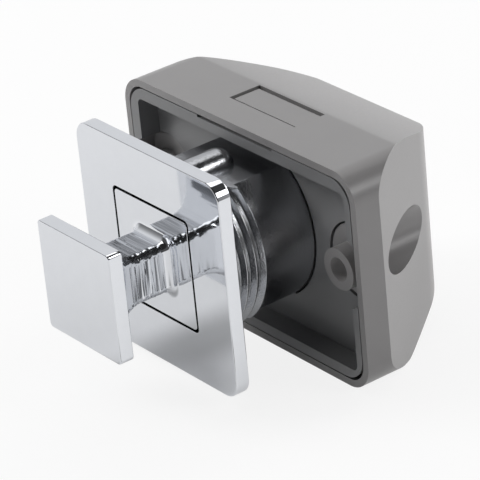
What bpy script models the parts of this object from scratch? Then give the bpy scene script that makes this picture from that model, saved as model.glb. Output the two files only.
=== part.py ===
"""Pushbutton latch for a cabinet door: a square knob in a rosette, a ribbed barrel and a case.

Metres, +Z up. The barrel's axis is the Y axis, and the door's inner face is the plane
y = 0. The knob points to -Y and the case stands behind the door at +Y. The model is at
rest with the knob out and the bolt drawn in. Pressing the knob by its travel brings its
plate flush with the rosette and lifts the bolt out of the top of the case.
"""

import math

import bmesh
import bpy
from mathutils import Matrix, Vector

# Door and clearances
BOARD = 0.0160
SLIDE_GAP = 0.0003
FIT_GAP = 0.0001
OVERRUN = 0.0010

# Rosette
ROSETTE_SIDE = 0.0400
ROSETTE_THICKNESS = 0.0027
ROSETTE_CORNER = 0.0034
ROSETTE_EDGE = 0.0003
ROSETTE_LIP = 0.0009
OPENING_SIDE = 0.0210
OPENING_CORNER = 0.0010
TOOTH_THICKNESS = 0.0006
TOOTH_SETBACK = 0.0006
TOOTH_START_DEG = 12.0
TOOTH_END_DEG = 34.0

# Knob
KNOB_TRAVEL = 0.0160
KNOB_PLATE = 0.0028
KNOB_CORNER = 0.0006
KNOB_EDGE = 0.0002
BASE_THICKNESS = 0.0025
NECK_HALF = 0.00458
NECK_STRAIGHT = 0.0066
FLARE_MARGIN = 0.0003
NECK_CORNER = 0.0011
NECK_FILLET = 0.0012
STEM_HOLE_DEPTH = 0.0100

# Barrel
BARREL_WALL = 0.00054
CHANNEL_CORNER = 0.0013
CREST_HEIGHT = 0.00085
CREST_LAND = 0.0007
CREST_FOOT = 0.0012
CREST_PITCH = 0.0020
CREST_COUNT = 6
FLAT_WALL = 0.0019
RIB_RADIUS = 0.0029
RIB_END = 0.0013

# Carrier behind the barrel
WEB_THICKNESS = 0.0015
EAR_RIM = 0.0011
EAR_TUNNEL_GAP = 0.00065
EAR_THICKNESS = 0.0024
EAR_CORNER = 0.0020
BARREL_SCREW_WALL = 0.0021
CARRIER_SCREW_SHARE = 0.525
CARRIER_SCREW_DROP = 0.0022

# Plunger
PLUNGER_WIDTH_SHARE = 0.678
PLUNGER_REACH = 0.0028
STOP_HEIGHT = 0.0012
STOP_LENGTH = 0.0020
STOP_WIDTH = 0.0024
GROOVE_DEPTH = 0.0018
GROOVE_HALF = 0.00135
GROOVE_TAIL = 0.0012
TRACK_DEPTH = 0.0016
HEART_LENGTH = 0.0058
HEART_NOTCH = 0.0007

# Bolt
YOKE_SIDE_BAR = 0.00235
BOLT_DEPTH = 0.0060
BOLT_STEP = 0.0008
BOLT_CHAMFER = 0.0003
BOLT_SUNK = 0.0002
BOLT_TRAVEL = 0.0080
YOKE_THICKNESS = 0.0034
YOKE_TOP_BAR = 0.0008
YOKE_BOTTOM_BAR = 0.0021
CAM_PIN_RADIUS = 0.0009
CAM_PIN_DROP = 0.0042

# Case: the rear cover
TUNNEL_RIM = 0.0011
CASE_HEIGHT = 0.0405
CASE_DROP = 0.00173
CASE_DEPTH = 0.0310
CASE_CORNER = 0.0053
CASE_WALL = 0.00135
FACET_START = 0.00505
FACET_INSET = 0.01595
FACET_ROUND = 0.0164
BACK_ROUND = 0.0020
ROOF_START = 0.0129
ROOF_DROP = 0.0068
ROOF_BOW_POWER = 1.19
TUNNEL_BARREL_GAP = 0.0044
TUNNEL_RADIUS = 0.00675
TUNNEL_BORE = 0.00475
TUNNEL_FRONT = 0.0043
TUNNEL_SHOULDER = 0.0015
POST_RADIUS = 0.0038
POST_HOLE = 0.00215
RAIL_THICKNESS = 0.00135
LEDGE_CLEARANCE = 0.00095
LEDGE_THICKNESS = 0.0015
SHELF_HALF_WIDTH = 0.0040
SHELF_PIVOT_MARGIN = 0.00195
SHELF_HEIGHT = 0.0048

# Case: the liner in its mouth
LINER_SIDE_WALL = 0.00145
LINER_LONG_WALL = 0.0019
LINER_DEPTH = 0.0040
LINER_FLOOR = 0.0012
LINER_CORNER = 0.0012
RELIEF_HALF = 0.0103
RELIEF_DEPTH = 0.0004
SNAP_X = 0.0180
SNAP_HALF = 0.0030
SNAP_HEIGHT = 0.0004
SNAP_FRONT = 0.0022
SNAP_LENGTH = 0.0011
LINER_POST_RADIUS = 0.0022
LINER_POST_SHORT = 0.0003
LINER_HOLE_FLOOR = 0.0009

# Knob spring
SPRING_WIRE_RADIUS = 0.00035
SPRING_GUIDE_GAP = 0.0004
SPRING_CHANNEL_GAP = 0.00055
SPRING_TURNS = 5
SPRING_POINTS_PER_TURN = 12

# Catch wire and its leaf spring
WIRE_RADIUS = 0.0006
WIRE_LENGTH = 0.0136
WIRE_LEG = 0.0044
WIRE_BEND = 0.0011
WIRE_SWING_DEG = 14.0
LEAF_THICKNESS = 0.0004
LEAF_HALF_WIDTH = 0.0022
LEAF_LENGTH = 0.0104
LEAF_SCREW_MARGIN = 0.00175

# Fasteners
STEM_RADIUS = 0.0015
STEM_ENGAGEMENT = 0.0085
STEM_HEAD_RADIUS = 0.00275
STEM_HEAD_HEIGHT = 0.0018
STEM_HEAD_SINK = 0.0009
WASHER_THICKNESS = 0.0007
WASHER_SLIT = 0.0005
BARREL_SCREW_RADIUS = 0.0009
BARREL_SCREW_HEAD = 0.0018
BARREL_SCREW_HEAD_HEIGHT = 0.0011
BARREL_SCREW_LENGTH = 0.0070
CARRIER_SCREW_RADIUS = 0.0010
CARRIER_SCREW_HEAD = 0.0030
CARRIER_SCREW_HEAD_HEIGHT = 0.0012
CARRIER_SCREW_TIP_GAP = 0.0002
LEAF_SCREW_RADIUS = 0.0008
LEAF_SCREW_HEAD = 0.0014
LEAF_SCREW_HEAD_HEIGHT = 0.0009
LEAF_SCREW_LENGTH = 0.0036
LEAF_SCREW_SETBACK = 0.0024
HEAD_EDGE_SHARE = 0.6
HEAD_TOP_SHARE = 0.75
RECESS_DEPTH_SHARE = 0.6
RECESS_ARM_SHARE = 0.6
RECESS_SLOT_SHARE = 0.13
RIB_CORE_SHARE = 0.5

# Steps of the round shapes
CORNER_STEPS = 4
ROUND_STEPS = 24
BARREL_STEPS = 48
FLARE_STEPS = 10
FILLET_STEPS = 3
BACK_STEPS = 8
ROOF_STEPS = 12
WIRE_BEVEL_STEPS = 1
SCREW_STEPS = 12
SHARP_ANGLE_DEG = 40.0

# Colours, as linear red, green and blue, and roughnesses
CHROME_COLOUR = (0.62, 0.63, 0.65)
ZINC_COLOUR = (0.42, 0.43, 0.44)
STEEL_COLOUR = (0.50, 0.50, 0.50)
COVER_COLOUR = (0.26, 0.26, 0.265)
LINER_COLOUR = (0.19, 0.19, 0.195)
BLACK_COLOUR = (0.02, 0.02, 0.02)
CHROME_ROUGHNESS = 0.08
ZINC_ROUGHNESS = 0.35
STEEL_ROUGHNESS = 0.30
COVER_ROUGHNESS = 0.50
LINER_ROUGHNESS = 0.55
BLACK_ROUGHNESS = 0.40

# Places worked out from the sizes above
ROSETTE_BACK = -BOARD
ROSETTE_FRONT = ROSETTE_BACK - ROSETTE_THICKNESS
KNOB_FRONT = ROSETTE_FRONT - KNOB_TRAVEL
KNOB_HALF = OPENING_SIDE / 2 - SLIDE_GAP
KNOB_BACK = ROSETTE_FRONT + BASE_THICKNESS
NECK_FLARE = KNOB_HALF - FLARE_MARGIN - NECK_HALF
BARREL_FRONT = ROSETTE_FRONT + ROSETTE_LIP + SLIDE_GAP
CHANNEL_HALF = OPENING_SIDE / 2
CHANNEL_REACH = math.sqrt(2) * (CHANNEL_HALF - CHANNEL_CORNER) + CHANNEL_CORNER
BARREL_RADIUS = CHANNEL_REACH + BARREL_WALL
FLAT_HALF = CHANNEL_HALF + FLAT_WALL
BARREL_SCREW_X = CHANNEL_HALF + BARREL_SCREW_WALL
TUNNEL_INNER = BARREL_RADIUS + TUNNEL_BARREL_GAP
TUNNEL_X = TUNNEL_INNER + TUNNEL_RADIUS
CASE_WIDTH = 2 * (TUNNEL_X + TUNNEL_BORE + TUNNEL_RIM)
CREST_RADIUS = BARREL_RADIUS + CREST_HEIGHT
WEB_FRONT = LINER_DEPTH - FIT_GAP
WEB_BACK = WEB_FRONT + WEB_THICKNESS
BARREL_BACK = WEB_FRONT - FIT_GAP
LINER_BACK = LINER_DEPTH + LINER_FLOOR
EAR_FRONT = LINER_BACK + SLIDE_GAP
EAR_BACK = EAR_FRONT + EAR_THICKNESS
SPRING_RADIUS = CHANNEL_HALF - SPRING_CHANNEL_GAP - SPRING_WIRE_RADIUS
PLUNGER_CORNER = SPRING_RADIUS - SPRING_WIRE_RADIUS - SPRING_GUIDE_GAP
PLUNGER_HALF_WIDTH = PLUNGER_CORNER * PLUNGER_WIDTH_SHARE
PLUNGER_HALF_HEIGHT = math.sqrt(PLUNGER_CORNER**2 - PLUNGER_HALF_WIDTH**2)
PLUNGER_FRONT = KNOB_BACK + SLIDE_GAP
PLUNGER_BACK = WEB_BACK + PLUNGER_REACH
STOP_TOP = PLUNGER_HALF_HEIGHT + STOP_HEIGHT
STEM_SEAT = WEB_BACK - STEM_HEAD_SINK
YOKE_FRONT = WEB_BACK + SLIDE_GAP
YOKE_BACK = YOKE_FRONT + YOKE_THICKNESS
YOKE_TOP = STOP_TOP + SLIDE_GAP
YOKE_INNER = PLUNGER_HALF_WIDTH + SLIDE_GAP
BOLT_HALF_WIDTH = YOKE_INNER + YOKE_SIDE_BAR
CAM_PIN_Y = YOKE_FRONT + SLIDE_GAP + CAM_PIN_RADIUS
BOLT_FRONT = YOKE_FRONT + BOLT_STEP
BOLT_BACK = BOLT_FRONT + BOLT_DEPTH
CASE_TOP = CASE_HEIGHT / 2 - CASE_DROP
CASE_BOTTOM = CASE_TOP - CASE_HEIGHT
BOLT_TOP = CASE_TOP - BOLT_SUNK
BOLT_BOTTOM = CASE_BOTTOM + CASE_WALL + SLIDE_GAP
RAIL_INNER = BOLT_HALF_WIDTH + SLIDE_GAP
RAIL_OUTER = RAIL_INNER + RAIL_THICKNESS
CARRIER_SCREW_X = RAIL_OUTER + (TUNNEL_INNER - RAIL_OUTER) * CARRIER_SCREW_SHARE
CARRIER_SCREW_Z = FLAT_HALF - CARRIER_SCREW_DROP
EAR_HALF_WIDTH = TUNNEL_INNER - EAR_TUNNEL_GAP
EAR_HALF_HEIGHT = CARRIER_SCREW_Z + LINER_POST_RADIUS + SLIDE_GAP + EAR_RIM
SLOT_HALF = RAIL_INNER + SLIDE_GAP
RAIL_FRONT = EAR_BACK + SLIDE_GAP
LEDGE_INNER = PLUNGER_HALF_WIDTH + LEDGE_CLEARANCE
LEDGE_FRONT = YOKE_BACK + SLIDE_GAP
LINER_HALF_WIDTH = CASE_WIDTH / 2 - CASE_WALL - FIT_GAP
LINER_HALF_HEIGHT = CASE_HEIGHT / 2 - CASE_WALL - FIT_GAP
LINER_POST_BACK = EAR_BACK - LINER_POST_SHORT
LANE_HALF = WIRE_RADIUS + SLIDE_GAP
LANE_X = WIRE_LENGTH * math.sin(math.radians(WIRE_SWING_DEG / 2))
WIRE_PIVOT_Y = CAM_PIN_Y + WIRE_LENGTH * math.cos(math.radians(WIRE_SWING_DEG / 2))
WIRE_RUN_Z = -STOP_TOP - WIRE_RADIUS - SLIDE_GAP
WIRE_TIP_Z = -PLUNGER_HALF_HEIGHT + TRACK_DEPTH - SLIDE_GAP
LEAF_TOP = WIRE_RUN_Z - WIRE_RADIUS - SLIDE_GAP
SHELF_TOP = LEAF_TOP - LEAF_THICKNESS - FIT_GAP
LEAF_SCREW_Y = WIRE_PIVOT_Y + LEAF_SCREW_SETBACK

AXES = {"X": (1, 2, 0), "Y": (0, 2, 1), "Z": (0, 1, 2)}
SIGNS = (1, -1)


def clear_scene():
    for old in list(bpy.data.objects):
        bpy.data.objects.remove(old, do_unlink=True)


def finish(name, colour, roughness, metallic):
    """A plain material with a sub-part's colour."""
    made = bpy.data.materials.new(name)
    made.use_nodes = True
    shader = made.node_tree.nodes["Principled BSDF"]
    shader.inputs["Base Color"].default_value = (*colour, 1.0)
    shader.inputs["Roughness"].default_value = roughness
    shader.inputs["Metallic"].default_value = metallic
    made.diffuse_color = (*colour, 1.0)
    return made


def at(axis, u, v, along):
    """The point at u and v across an axis, and at a distance along it."""
    point = [0.0, 0.0, 0.0]
    first, second, third = AXES[axis]
    point[first], point[second], point[third] = u, v, along
    return point


def circle(radius, centre=(0.0, 0.0), steps=ROUND_STEPS):
    turns = [2 * math.pi * (i + 0.5) / steps for i in range(steps)]
    return [(centre[0] + radius * math.cos(t), centre[1] + radius * math.sin(t)) for t in turns]


def rounded(half_u, half_v, radius, centre=(0.0, 0.0)):
    """A rectangle's outline with round corners."""
    points = []
    for corner, (su, sv) in enumerate(((1, 1), (-1, 1), (-1, -1), (1, -1))):
        for i in range(CORNER_STEPS + 1):
            turn = math.pi / 2 * (corner + i / CORNER_STEPS)
            u = centre[0] + su * (half_u - radius) + radius * math.cos(turn)
            v = centre[1] + sv * (half_v - radius) + radius * math.sin(turn)
            points.append((u, v))
    return points


def flatted(radius, half):
    """A circle's outline cut flat above and below."""
    reach = math.asin(half / radius)
    turns = [reach * (2 * i / ROUND_STEPS - 1) for i in range(ROUND_STEPS + 1)]
    right = [(radius * math.cos(turn), radius * math.sin(turn)) for turn in turns]
    return right + [(-u, -v) for u, v in right]


def corner_arc(before, corner, after, radius, steps=CORNER_STEPS):
    """The points that round the corner between two straight runs."""
    middle = Vector(corner)
    to_before = (Vector(before) - middle).normalized()
    to_after = (Vector(after) - middle).normalized()
    half = to_before.angle(to_after) / 2
    centre = middle + (to_before + to_after).normalized() * (radius / math.sin(half))
    first = middle + to_before * (radius / math.tan(half)) - centre
    last = middle + to_after * (radius / math.tan(half)) - centre
    turn = math.pi - 2 * half
    points = []
    for i in range(steps + 1):
        part = turn * i / steps
        spoke = (first * math.sin(turn - part) + last * math.sin(part)) / math.sin(turn)
        points.append(tuple(centre + spoke))
    return points


def prism(axis, outline, low, high):
    """The rings of an outline drawn along an axis."""
    return [[at(axis, u, v, along) for u, v in outline] for along in (low, high)]


def block(low, high):
    outline = [(low[0], low[1]), (high[0], low[1]), (high[0], high[1]), (low[0], high[1])]
    return prism("Z", outline, low[2], high[2])


def turned(axis, profile, centre=(0.0, 0.0), steps=ROUND_STEPS):
    """The rings of a profile of (radius, along) turned round an axis."""
    return [[at(axis, u, v, along) for u, v in circle(r, centre, steps)] for r, along in profile]


def drilled(axis, radius, low, high, centre=(0.0, 0.0), steps=ROUND_STEPS):
    return turned(axis, [(radius, low), (radius, high)], centre, steps)


def mirrored_x(shells):
    """Shells and their mirror images on the other side of the plane x = 0."""
    return shells + [[[(-x, y, z) for x, y, z in ring] for ring in rings] for rings in shells]


def mesh_of(name, shells):
    """One mesh from closed shells, each a list of rings that are bridged and capped."""
    built = bmesh.new()
    for rings in shells:
        rows = [[built.verts.new(point) for point in ring] for ring in rings]
        built.faces.new(list(reversed(rows[0])))
        built.faces.new(rows[-1])
        for row, following in zip(rows, rows[1:]):
            for i, vertex in enumerate(row):
                after = (i + 1) % len(row)
                built.faces.new((vertex, row[after], following[after], following[i]))
    bmesh.ops.recalc_face_normals(built, faces=built.faces)
    mesh = bpy.data.meshes.new(name)
    built.to_mesh(mesh)
    built.free()
    return mesh


def place(name, data):
    made = bpy.data.objects.new(name, data)
    bpy.context.scene.collection.objects.link(made)
    return made


def piece(name, shells, material):
    """A sub-part of the latch, shaded smooth except at its sharp edges."""
    mesh = mesh_of(name, shells)
    mesh.materials.append(material)
    mesh.shade_smooth()
    mesh.set_sharp_from_angle(angle=math.radians(SHARP_ANGLE_DEG))
    return place(name, mesh)


def helper(name, shells):
    """A hidden solid that only cuts or joins."""
    made = place(name, mesh_of(name, shells))
    made.hide_render = True
    made.display_type = "WIRE"
    return made


def combine(body, operation, tool):
    """A Boolean of the body with a hidden solid, which rides on the body."""
    tool.parent = body
    modifier = body.modifiers.new(tool.name, "BOOLEAN")
    modifier.operation = operation
    modifier.solver = "EXACT"
    modifier.object = tool


def cut(body, name, shells):
    combine(body, "DIFFERENCE", helper(name, shells))


def join(body, name, shells):
    combine(body, "UNION", helper(name, shells))


def keep_inside(body, name, shells):
    combine(body, "INTERSECT", helper(name, shells))


def tube(name, points, radius, material):
    """A round wire along a line of points, with closed ends."""
    curve = bpy.data.curves.new(name, "CURVE")
    curve.dimensions = "3D"
    curve.bevel_depth = radius
    curve.bevel_resolution = WIRE_BEVEL_STEPS
    curve.use_fill_caps = True
    spline = curve.splines.new("POLY")
    spline.points.add(len(points) - 1)
    for control, (x, y, z) in zip(spline.points, points):
        control.co = (x, y, z, 1.0)
    curve.materials.append(material)
    return place(name, curve)


def ride(name, place_on_axis, pieces):
    """An empty on a joint's axis, which carries the pieces that move with that joint."""
    axis = place(name, None)
    axis.location = place_on_axis
    for moving in pieces:
        moving.parent = axis
        moving.matrix_parent_inverse = Matrix.Translation(place_on_axis).inverted()


def screw(name, material, axis, centre, seat, length, radius, head_radius, head_height):
    """A cross-head screw whose head stands on its seat, at the positive end of the axis."""
    top = seat + head_height
    profile = [
        (radius * HEAD_TOP_SHARE, seat - length),
        (radius, seat - length + radius * (1 - HEAD_TOP_SHARE)),
        (radius, seat),
        (head_radius, seat),
        (head_radius, seat + head_height * HEAD_EDGE_SHARE),
        (head_radius * HEAD_TOP_SHARE, top),
    ]
    made = piece(name, [turned(axis, profile, centre, SCREW_STEPS)], material)
    arm = head_radius * RECESS_ARM_SHARE
    slot = head_radius * RECESS_SLOT_SHARE
    floor = top - head_height * RECESS_DEPTH_SHARE
    recess = [(slot, slot), (slot, arm), (-slot, arm), (-slot, slot), (-arm, slot), (-arm, -slot)]
    recess += [(-u, -v) for u, v in recess]
    outline = [(centre[0] + u, centre[1] + v) for u, v in recess]
    cut(made, f"{name}_recess", [prism(axis, outline, floor, top + OVERRUN)])
    return made


def make_rosette(chrome):
    half = ROSETTE_SIDE / 2
    stations = (
        (ROSETTE_EDGE, ROSETTE_FRONT),
        (0.0, ROSETTE_FRONT + ROSETTE_EDGE),
        (0.0, ROSETTE_BACK - ROSETTE_EDGE),
        (ROSETTE_EDGE, ROSETTE_BACK),
    )
    rings = []
    for inset, y in stations:
        outline = rounded(half - inset, half - inset, ROSETTE_CORNER - inset)
        rings.append([at("Y", u, v, y) for u, v in outline])
    plate = piece("rosette", [rings], chrome)
    opening = rounded(OPENING_SIDE / 2, OPENING_SIDE / 2, OPENING_CORNER)
    through = prism("Y", opening, ROSETTE_FRONT - OVERRUN, ROSETTE_BACK + OVERRUN)
    cut(plate, "rosette_opening", [through])
    recess_radius = CREST_RADIUS + SLIDE_GAP
    recess_floor = ROSETTE_FRONT + ROSETTE_LIP
    ring = drilled("Y", recess_radius, recess_floor, ROSETTE_BACK + OVERRUN, steps=BARREL_STEPS)
    cut(plate, "rosette_recess", [ring])
    join(plate, "rosette_teeth", rosette_teeth(recess_radius))


def groove_middle():
    """The depth of the groove in the barrel that holds the rosette's teeth."""
    return ROSETTE_BACK - TOOTH_SETBACK


def rosette_teeth(recess_radius):
    """Four teeth that turn in behind the barrel's front crest."""
    inner = BARREL_RADIUS + SLIDE_GAP
    outer = recess_radius + OVERRUN
    start = math.radians(TOOTH_START_DEG)
    end = math.radians(TOOTH_END_DEG)
    turns = [start + (end - start) * i / CORNER_STEPS for i in range(CORNER_STEPS + 1)]
    low = groove_middle() - TOOTH_THICKNESS / 2
    teeth = []
    for sign in SIGNS:
        out = [(outer * math.cos(t), sign * outer * math.sin(t)) for t in turns]
        back = [(inner * math.cos(t), sign * inner * math.sin(t)) for t in reversed(turns)]
        teeth.append(prism("Y", out + back, low, low + TOOTH_THICKNESS))
    return mirrored_x(teeth)


def barrel_profile():
    """The outer line of the barrel, from the cut crest at its front to its plain rear."""
    flank = (CREST_FOOT - CREST_LAND) / 2
    first_back = groove_middle() - (CREST_PITCH - CREST_FOOT) / 2
    profile = [
        (CREST_RADIUS, BARREL_FRONT),
        (CREST_RADIUS, first_back - flank),
        (BARREL_RADIUS, first_back),
    ]
    for crest in range(1, CREST_COUNT):
        back = first_back + crest * CREST_PITCH
        front = back - CREST_FOOT
        profile.append((BARREL_RADIUS, front))
        profile.append((CREST_RADIUS, front + flank))
        profile.append((CREST_RADIUS, back - flank))
        profile.append((BARREL_RADIUS, back))
    profile.append((BARREL_RADIUS, BARREL_BACK))
    return profile


def make_barrel(chrome):
    tube_wall = turned("Y", barrel_profile(), steps=BARREL_STEPS)
    barrel = piece("barrel", [tube_wall], chrome)
    reach = CREST_RADIUS + OVERRUN
    low = (-reach, BARREL_FRONT - OVERRUN, -FLAT_HALF)
    high = (reach, BARREL_BACK + OVERRUN, FLAT_HALF)
    keep_inside(barrel, "barrel_flats", [block(low, high)])
    join(barrel, "barrel_ribs", [barrel_rib(sign) for sign in SIGNS])
    channel = rounded(CHANNEL_HALF, CHANNEL_HALF, CHANNEL_CORNER)
    through = prism("Y", channel, BARREL_FRONT - OVERRUN, BARREL_BACK + OVERRUN)
    cut(barrel, "barrel_channel", [through])
    radius = BARREL_SCREW_RADIUS + FIT_GAP
    deep = barrel_screw_seat() - BARREL_SCREW_LENGTH - SLIDE_GAP
    holes = [
        drilled("Y", radius, deep, BARREL_BACK + OVERRUN, (sign * BARREL_SCREW_X, 0.0))
        for sign in SIGNS
    ]
    cut(barrel, "barrel_screw_holes", holes)


def barrel_rib(sign):
    """A half-round rib on a flat, with a domed end short of the case."""
    centre_y = -RIB_END - RIB_RADIUS
    profile = [(RIB_RADIUS, BARREL_FRONT + CREST_LAND)]
    for i in range(CORNER_STEPS + 1):
        turn = math.pi / 2 * i / (CORNER_STEPS + 1)
        profile.append((RIB_RADIUS * math.cos(turn), centre_y + RIB_RADIUS * math.sin(turn)))
    core = FLAT_HALF - RIB_RADIUS * RIB_CORE_SHARE
    rings = turned("Y", profile, (0.0, FLAT_HALF), steps=ROUND_STEPS)
    return [[(x, y, sign * max(z, core)) for x, y, z in ring] for ring in rings]


def barrel_screw_seat():
    return EAR_BACK - BARREL_SCREW_HEAD_HEIGHT - FIT_GAP


def carrier_screw_places():
    return [(u * CARRIER_SCREW_X, v * CARRIER_SCREW_Z) for u in SIGNS for v in SIGNS]


def make_carrier(zinc):
    """The die-cast carrier that closes the barrel, guides the plunger and holds the liner."""
    outline = flatted(BARREL_RADIUS, FLAT_HALF)
    carrier = piece("carrier", [prism("Y", outline, WEB_FRONT, EAR_BACK)], zinc)
    ears = rounded(EAR_HALF_WIDTH, EAR_HALF_HEIGHT, EAR_CORNER)
    join(carrier, "carrier_ears", [prism("Y", ears, EAR_FRONT, EAR_BACK)])
    guide_x = PLUNGER_HALF_WIDTH + SLIDE_GAP
    guide_z = PLUNGER_HALF_HEIGHT + SLIDE_GAP
    low = (-guide_x, WEB_FRONT - OVERRUN, -guide_z)
    high = (guide_x, EAR_BACK + OVERRUN, guide_z)
    cut(carrier, "carrier_guide", [block(low, high)])
    tall = EAR_HALF_HEIGHT + OVERRUN
    low = (-SLOT_HALF, WEB_BACK, -tall)
    high = (SLOT_HALF, EAR_BACK + OVERRUN, tall)
    cut(carrier, "carrier_yoke_slot", [block(low, high)])
    radius = LINER_POST_RADIUS + SLIDE_GAP
    holes = [
        drilled("Y", radius, EAR_FRONT - OVERRUN, EAR_BACK + OVERRUN, centre)
        for centre in carrier_screw_places()
    ]
    cut(carrier, "carrier_post_holes", holes)
    shank = BARREL_SCREW_RADIUS + FIT_GAP
    head = BARREL_SCREW_HEAD + FIT_GAP
    seat = barrel_screw_seat() - FIT_GAP
    steps = [
        (shank, WEB_FRONT - OVERRUN),
        (shank, seat),
        (head, seat),
        (head, EAR_BACK + OVERRUN),
    ]
    holes = [turned("Y", steps, (sign * BARREL_SCREW_X, 0.0)) for sign in SIGNS]
    cut(carrier, "carrier_screw_holes", holes)


def make_barrel_screws(steel):
    for number, sign in enumerate(SIGNS, 1):
        screw(
            f"barrel_screw_{number}",
            steel,
            "Y",
            (sign * BARREL_SCREW_X, 0.0),
            barrel_screw_seat(),
            BARREL_SCREW_LENGTH,
            BARREL_SCREW_RADIUS,
            BARREL_SCREW_HEAD,
            BARREL_SCREW_HEAD_HEIGHT,
        )


def make_carrier_screws(steel):
    """Four screws that clamp the carrier's ears to the posts behind the liner."""
    seat = EAR_BACK + FIT_GAP
    tip = LINER_DEPTH + LINER_HOLE_FLOOR + CARRIER_SCREW_TIP_GAP
    for number, centre in enumerate(carrier_screw_places(), 1):
        screw(
            f"carrier_screw_{number}",
            steel,
            "Y",
            centre,
            seat,
            seat - tip,
            CARRIER_SCREW_RADIUS,
            CARRIER_SCREW_HEAD,
            CARRIER_SCREW_HEAD_HEIGHT,
        )


def neck_stations(plate_back):
    """The neck's half width, corner and depth: a flare, a straight part and a fillet."""
    stations = []
    flare_length = ROSETTE_FRONT - NECK_STRAIGHT - plate_back
    for i in range(FLARE_STEPS + 1):
        turn = math.pi / 2 * (1 - i / FLARE_STEPS)
        half = NECK_HALF + NECK_FLARE * (1 - math.cos(turn))
        y = plate_back + flare_length * (1 - math.sin(turn))
        stations.append((half, NECK_CORNER, y))
    for i in range(FILLET_STEPS + 1):
        turn = math.pi / 2 * i / FILLET_STEPS
        spread = NECK_FILLET * (1 - math.cos(turn))
        y = ROSETTE_FRONT - NECK_FILLET * (1 - math.sin(turn))
        stations.append((NECK_HALF + spread, NECK_CORNER + spread, y))
    return stations


def make_knob(chrome):
    plate_back = KNOB_FRONT + KNOB_PLATE
    stations = [
        (KNOB_HALF - KNOB_EDGE, KNOB_CORNER, KNOB_FRONT),
        (KNOB_HALF, KNOB_CORNER, KNOB_FRONT + KNOB_EDGE),
        (KNOB_HALF, KNOB_CORNER, plate_back - KNOB_EDGE),
        (KNOB_HALF - KNOB_EDGE, KNOB_CORNER, plate_back),
    ]
    stations += neck_stations(plate_back)
    stations += [
        (KNOB_HALF - KNOB_EDGE, KNOB_CORNER, ROSETTE_FRONT),
        (KNOB_HALF, KNOB_CORNER, ROSETTE_FRONT + KNOB_EDGE),
        (KNOB_HALF, KNOB_CORNER, KNOB_BACK),
    ]
    rings = [
        [at("Y", u, v, y) for u, v in rounded(half, half, corner)] for half, corner, y in stations
    ]
    knob = piece("knob", [rings], chrome)
    deep = KNOB_BACK - STEM_HOLE_DEPTH
    hole = drilled("Y", STEM_RADIUS + FIT_GAP, deep, KNOB_BACK + OVERRUN)
    cut(knob, "knob_stem_hole", [hole])
    return knob


def make_plunger(black):
    low = (-PLUNGER_HALF_WIDTH, PLUNGER_FRONT, -PLUNGER_HALF_HEIGHT)
    high = (PLUNGER_HALF_WIDTH, PLUNGER_BACK, PLUNGER_HALF_HEIGHT)
    plunger = piece("plunger", [block(low, high)], black)
    join(plunger, "plunger_stops", plunger_stops())
    cut(plunger, "plunger_grooves", plunger_grooves())
    cut(plunger, "plunger_track", [plunger_track()])
    join(plunger, "plunger_heart", [plunger_heart()])
    bore = STEM_RADIUS + FIT_GAP
    head = STEM_HEAD_RADIUS + SLIDE_GAP
    steps = [
        (bore, PLUNGER_FRONT - OVERRUN),
        (bore, STEM_SEAT),
        (head, STEM_SEAT),
        (head, PLUNGER_BACK + OVERRUN),
    ]
    cut(plunger, "plunger_bore", [turned("Y", steps)])
    return plunger


def plunger_stops():
    """Ears behind the carrier's web, which keep the plunger from leaving at the front."""
    front = WEB_BACK + SLIDE_GAP
    back = front + STOP_LENGTH
    inner = PLUNGER_HALF_WIDTH - STOP_WIDTH
    outer = PLUNGER_HALF_WIDTH - FIT_GAP
    root = PLUNGER_HALF_HEIGHT - STOP_HEIGHT
    upper = block((inner, front, root), (outer, back, STOP_TOP))
    lower = block((inner, front, -STOP_TOP), (outer, back, -root))
    return mirrored_x([upper, lower])


def plunger_grooves():
    """Slanted grooves in both sides, whose walls carry the bolt's cam pins up and down."""
    start = (CAM_PIN_Y, -CAM_PIN_DROP)
    end_y = CAM_PIN_Y - KNOB_TRAVEL - GROOVE_TAIL
    end = (end_y, start[1] + (start[0] - end_y) * BOLT_TRAVEL / KNOB_TRAVEL)
    mouth = (PLUNGER_BACK + OVERRUN, start[1])
    line = (mouth, start, end)
    upper = [(y, z + GROOVE_HALF) for y, z in line]
    lower = [(y, z - GROOVE_HALF) for y, z in reversed(line)]
    inner = PLUNGER_HALF_WIDTH - GROOVE_DEPTH
    return mirrored_x([prism("X", upper + lower, inner, PLUNGER_HALF_WIDTH + OVERRUN)])


def track_far():
    return CAM_PIN_Y - KNOB_TRAVEL - LANE_HALF


def plunger_track():
    """The recess in the underside that the catch wire's tip runs round in."""
    half_x = LANE_X + LANE_HALF
    low = (-half_x, track_far(), -PLUNGER_HALF_HEIGHT - OVERRUN)
    high = (half_x, CAM_PIN_Y + 2 * LANE_HALF, -PLUNGER_HALF_HEIGHT + TRACK_DEPTH)
    return block(low, high)


def plunger_heart():
    """The island between the two lanes, pointed at the near end and notched at the far end."""
    half = LANE_X - LANE_HALF
    far = track_far() + 2 * LANE_HALF + SLIDE_GAP
    near = far + HEART_LENGTH
    outline = [
        (-half, far),
        (0.0, far + HEART_NOTCH),
        (half, far),
        (half, near - half),
        (0.0, near),
        (-half, near - half),
    ]
    floor = -PLUNGER_HALF_HEIGHT + TRACK_DEPTH
    return prism("Z", outline, -PLUNGER_HALF_HEIGHT, floor + OVERRUN)


def make_stem_screw(steel):
    seat = STEM_SEAT + FIT_GAP + WASHER_THICKNESS + FIT_GAP
    length = seat - KNOB_BACK + STEM_ENGAGEMENT
    return screw(
        "stem_screw",
        steel,
        "Y",
        (0.0, 0.0),
        seat,
        length,
        STEM_RADIUS,
        STEM_HEAD_RADIUS,
        STEM_HEAD_HEIGHT,
    )


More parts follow.
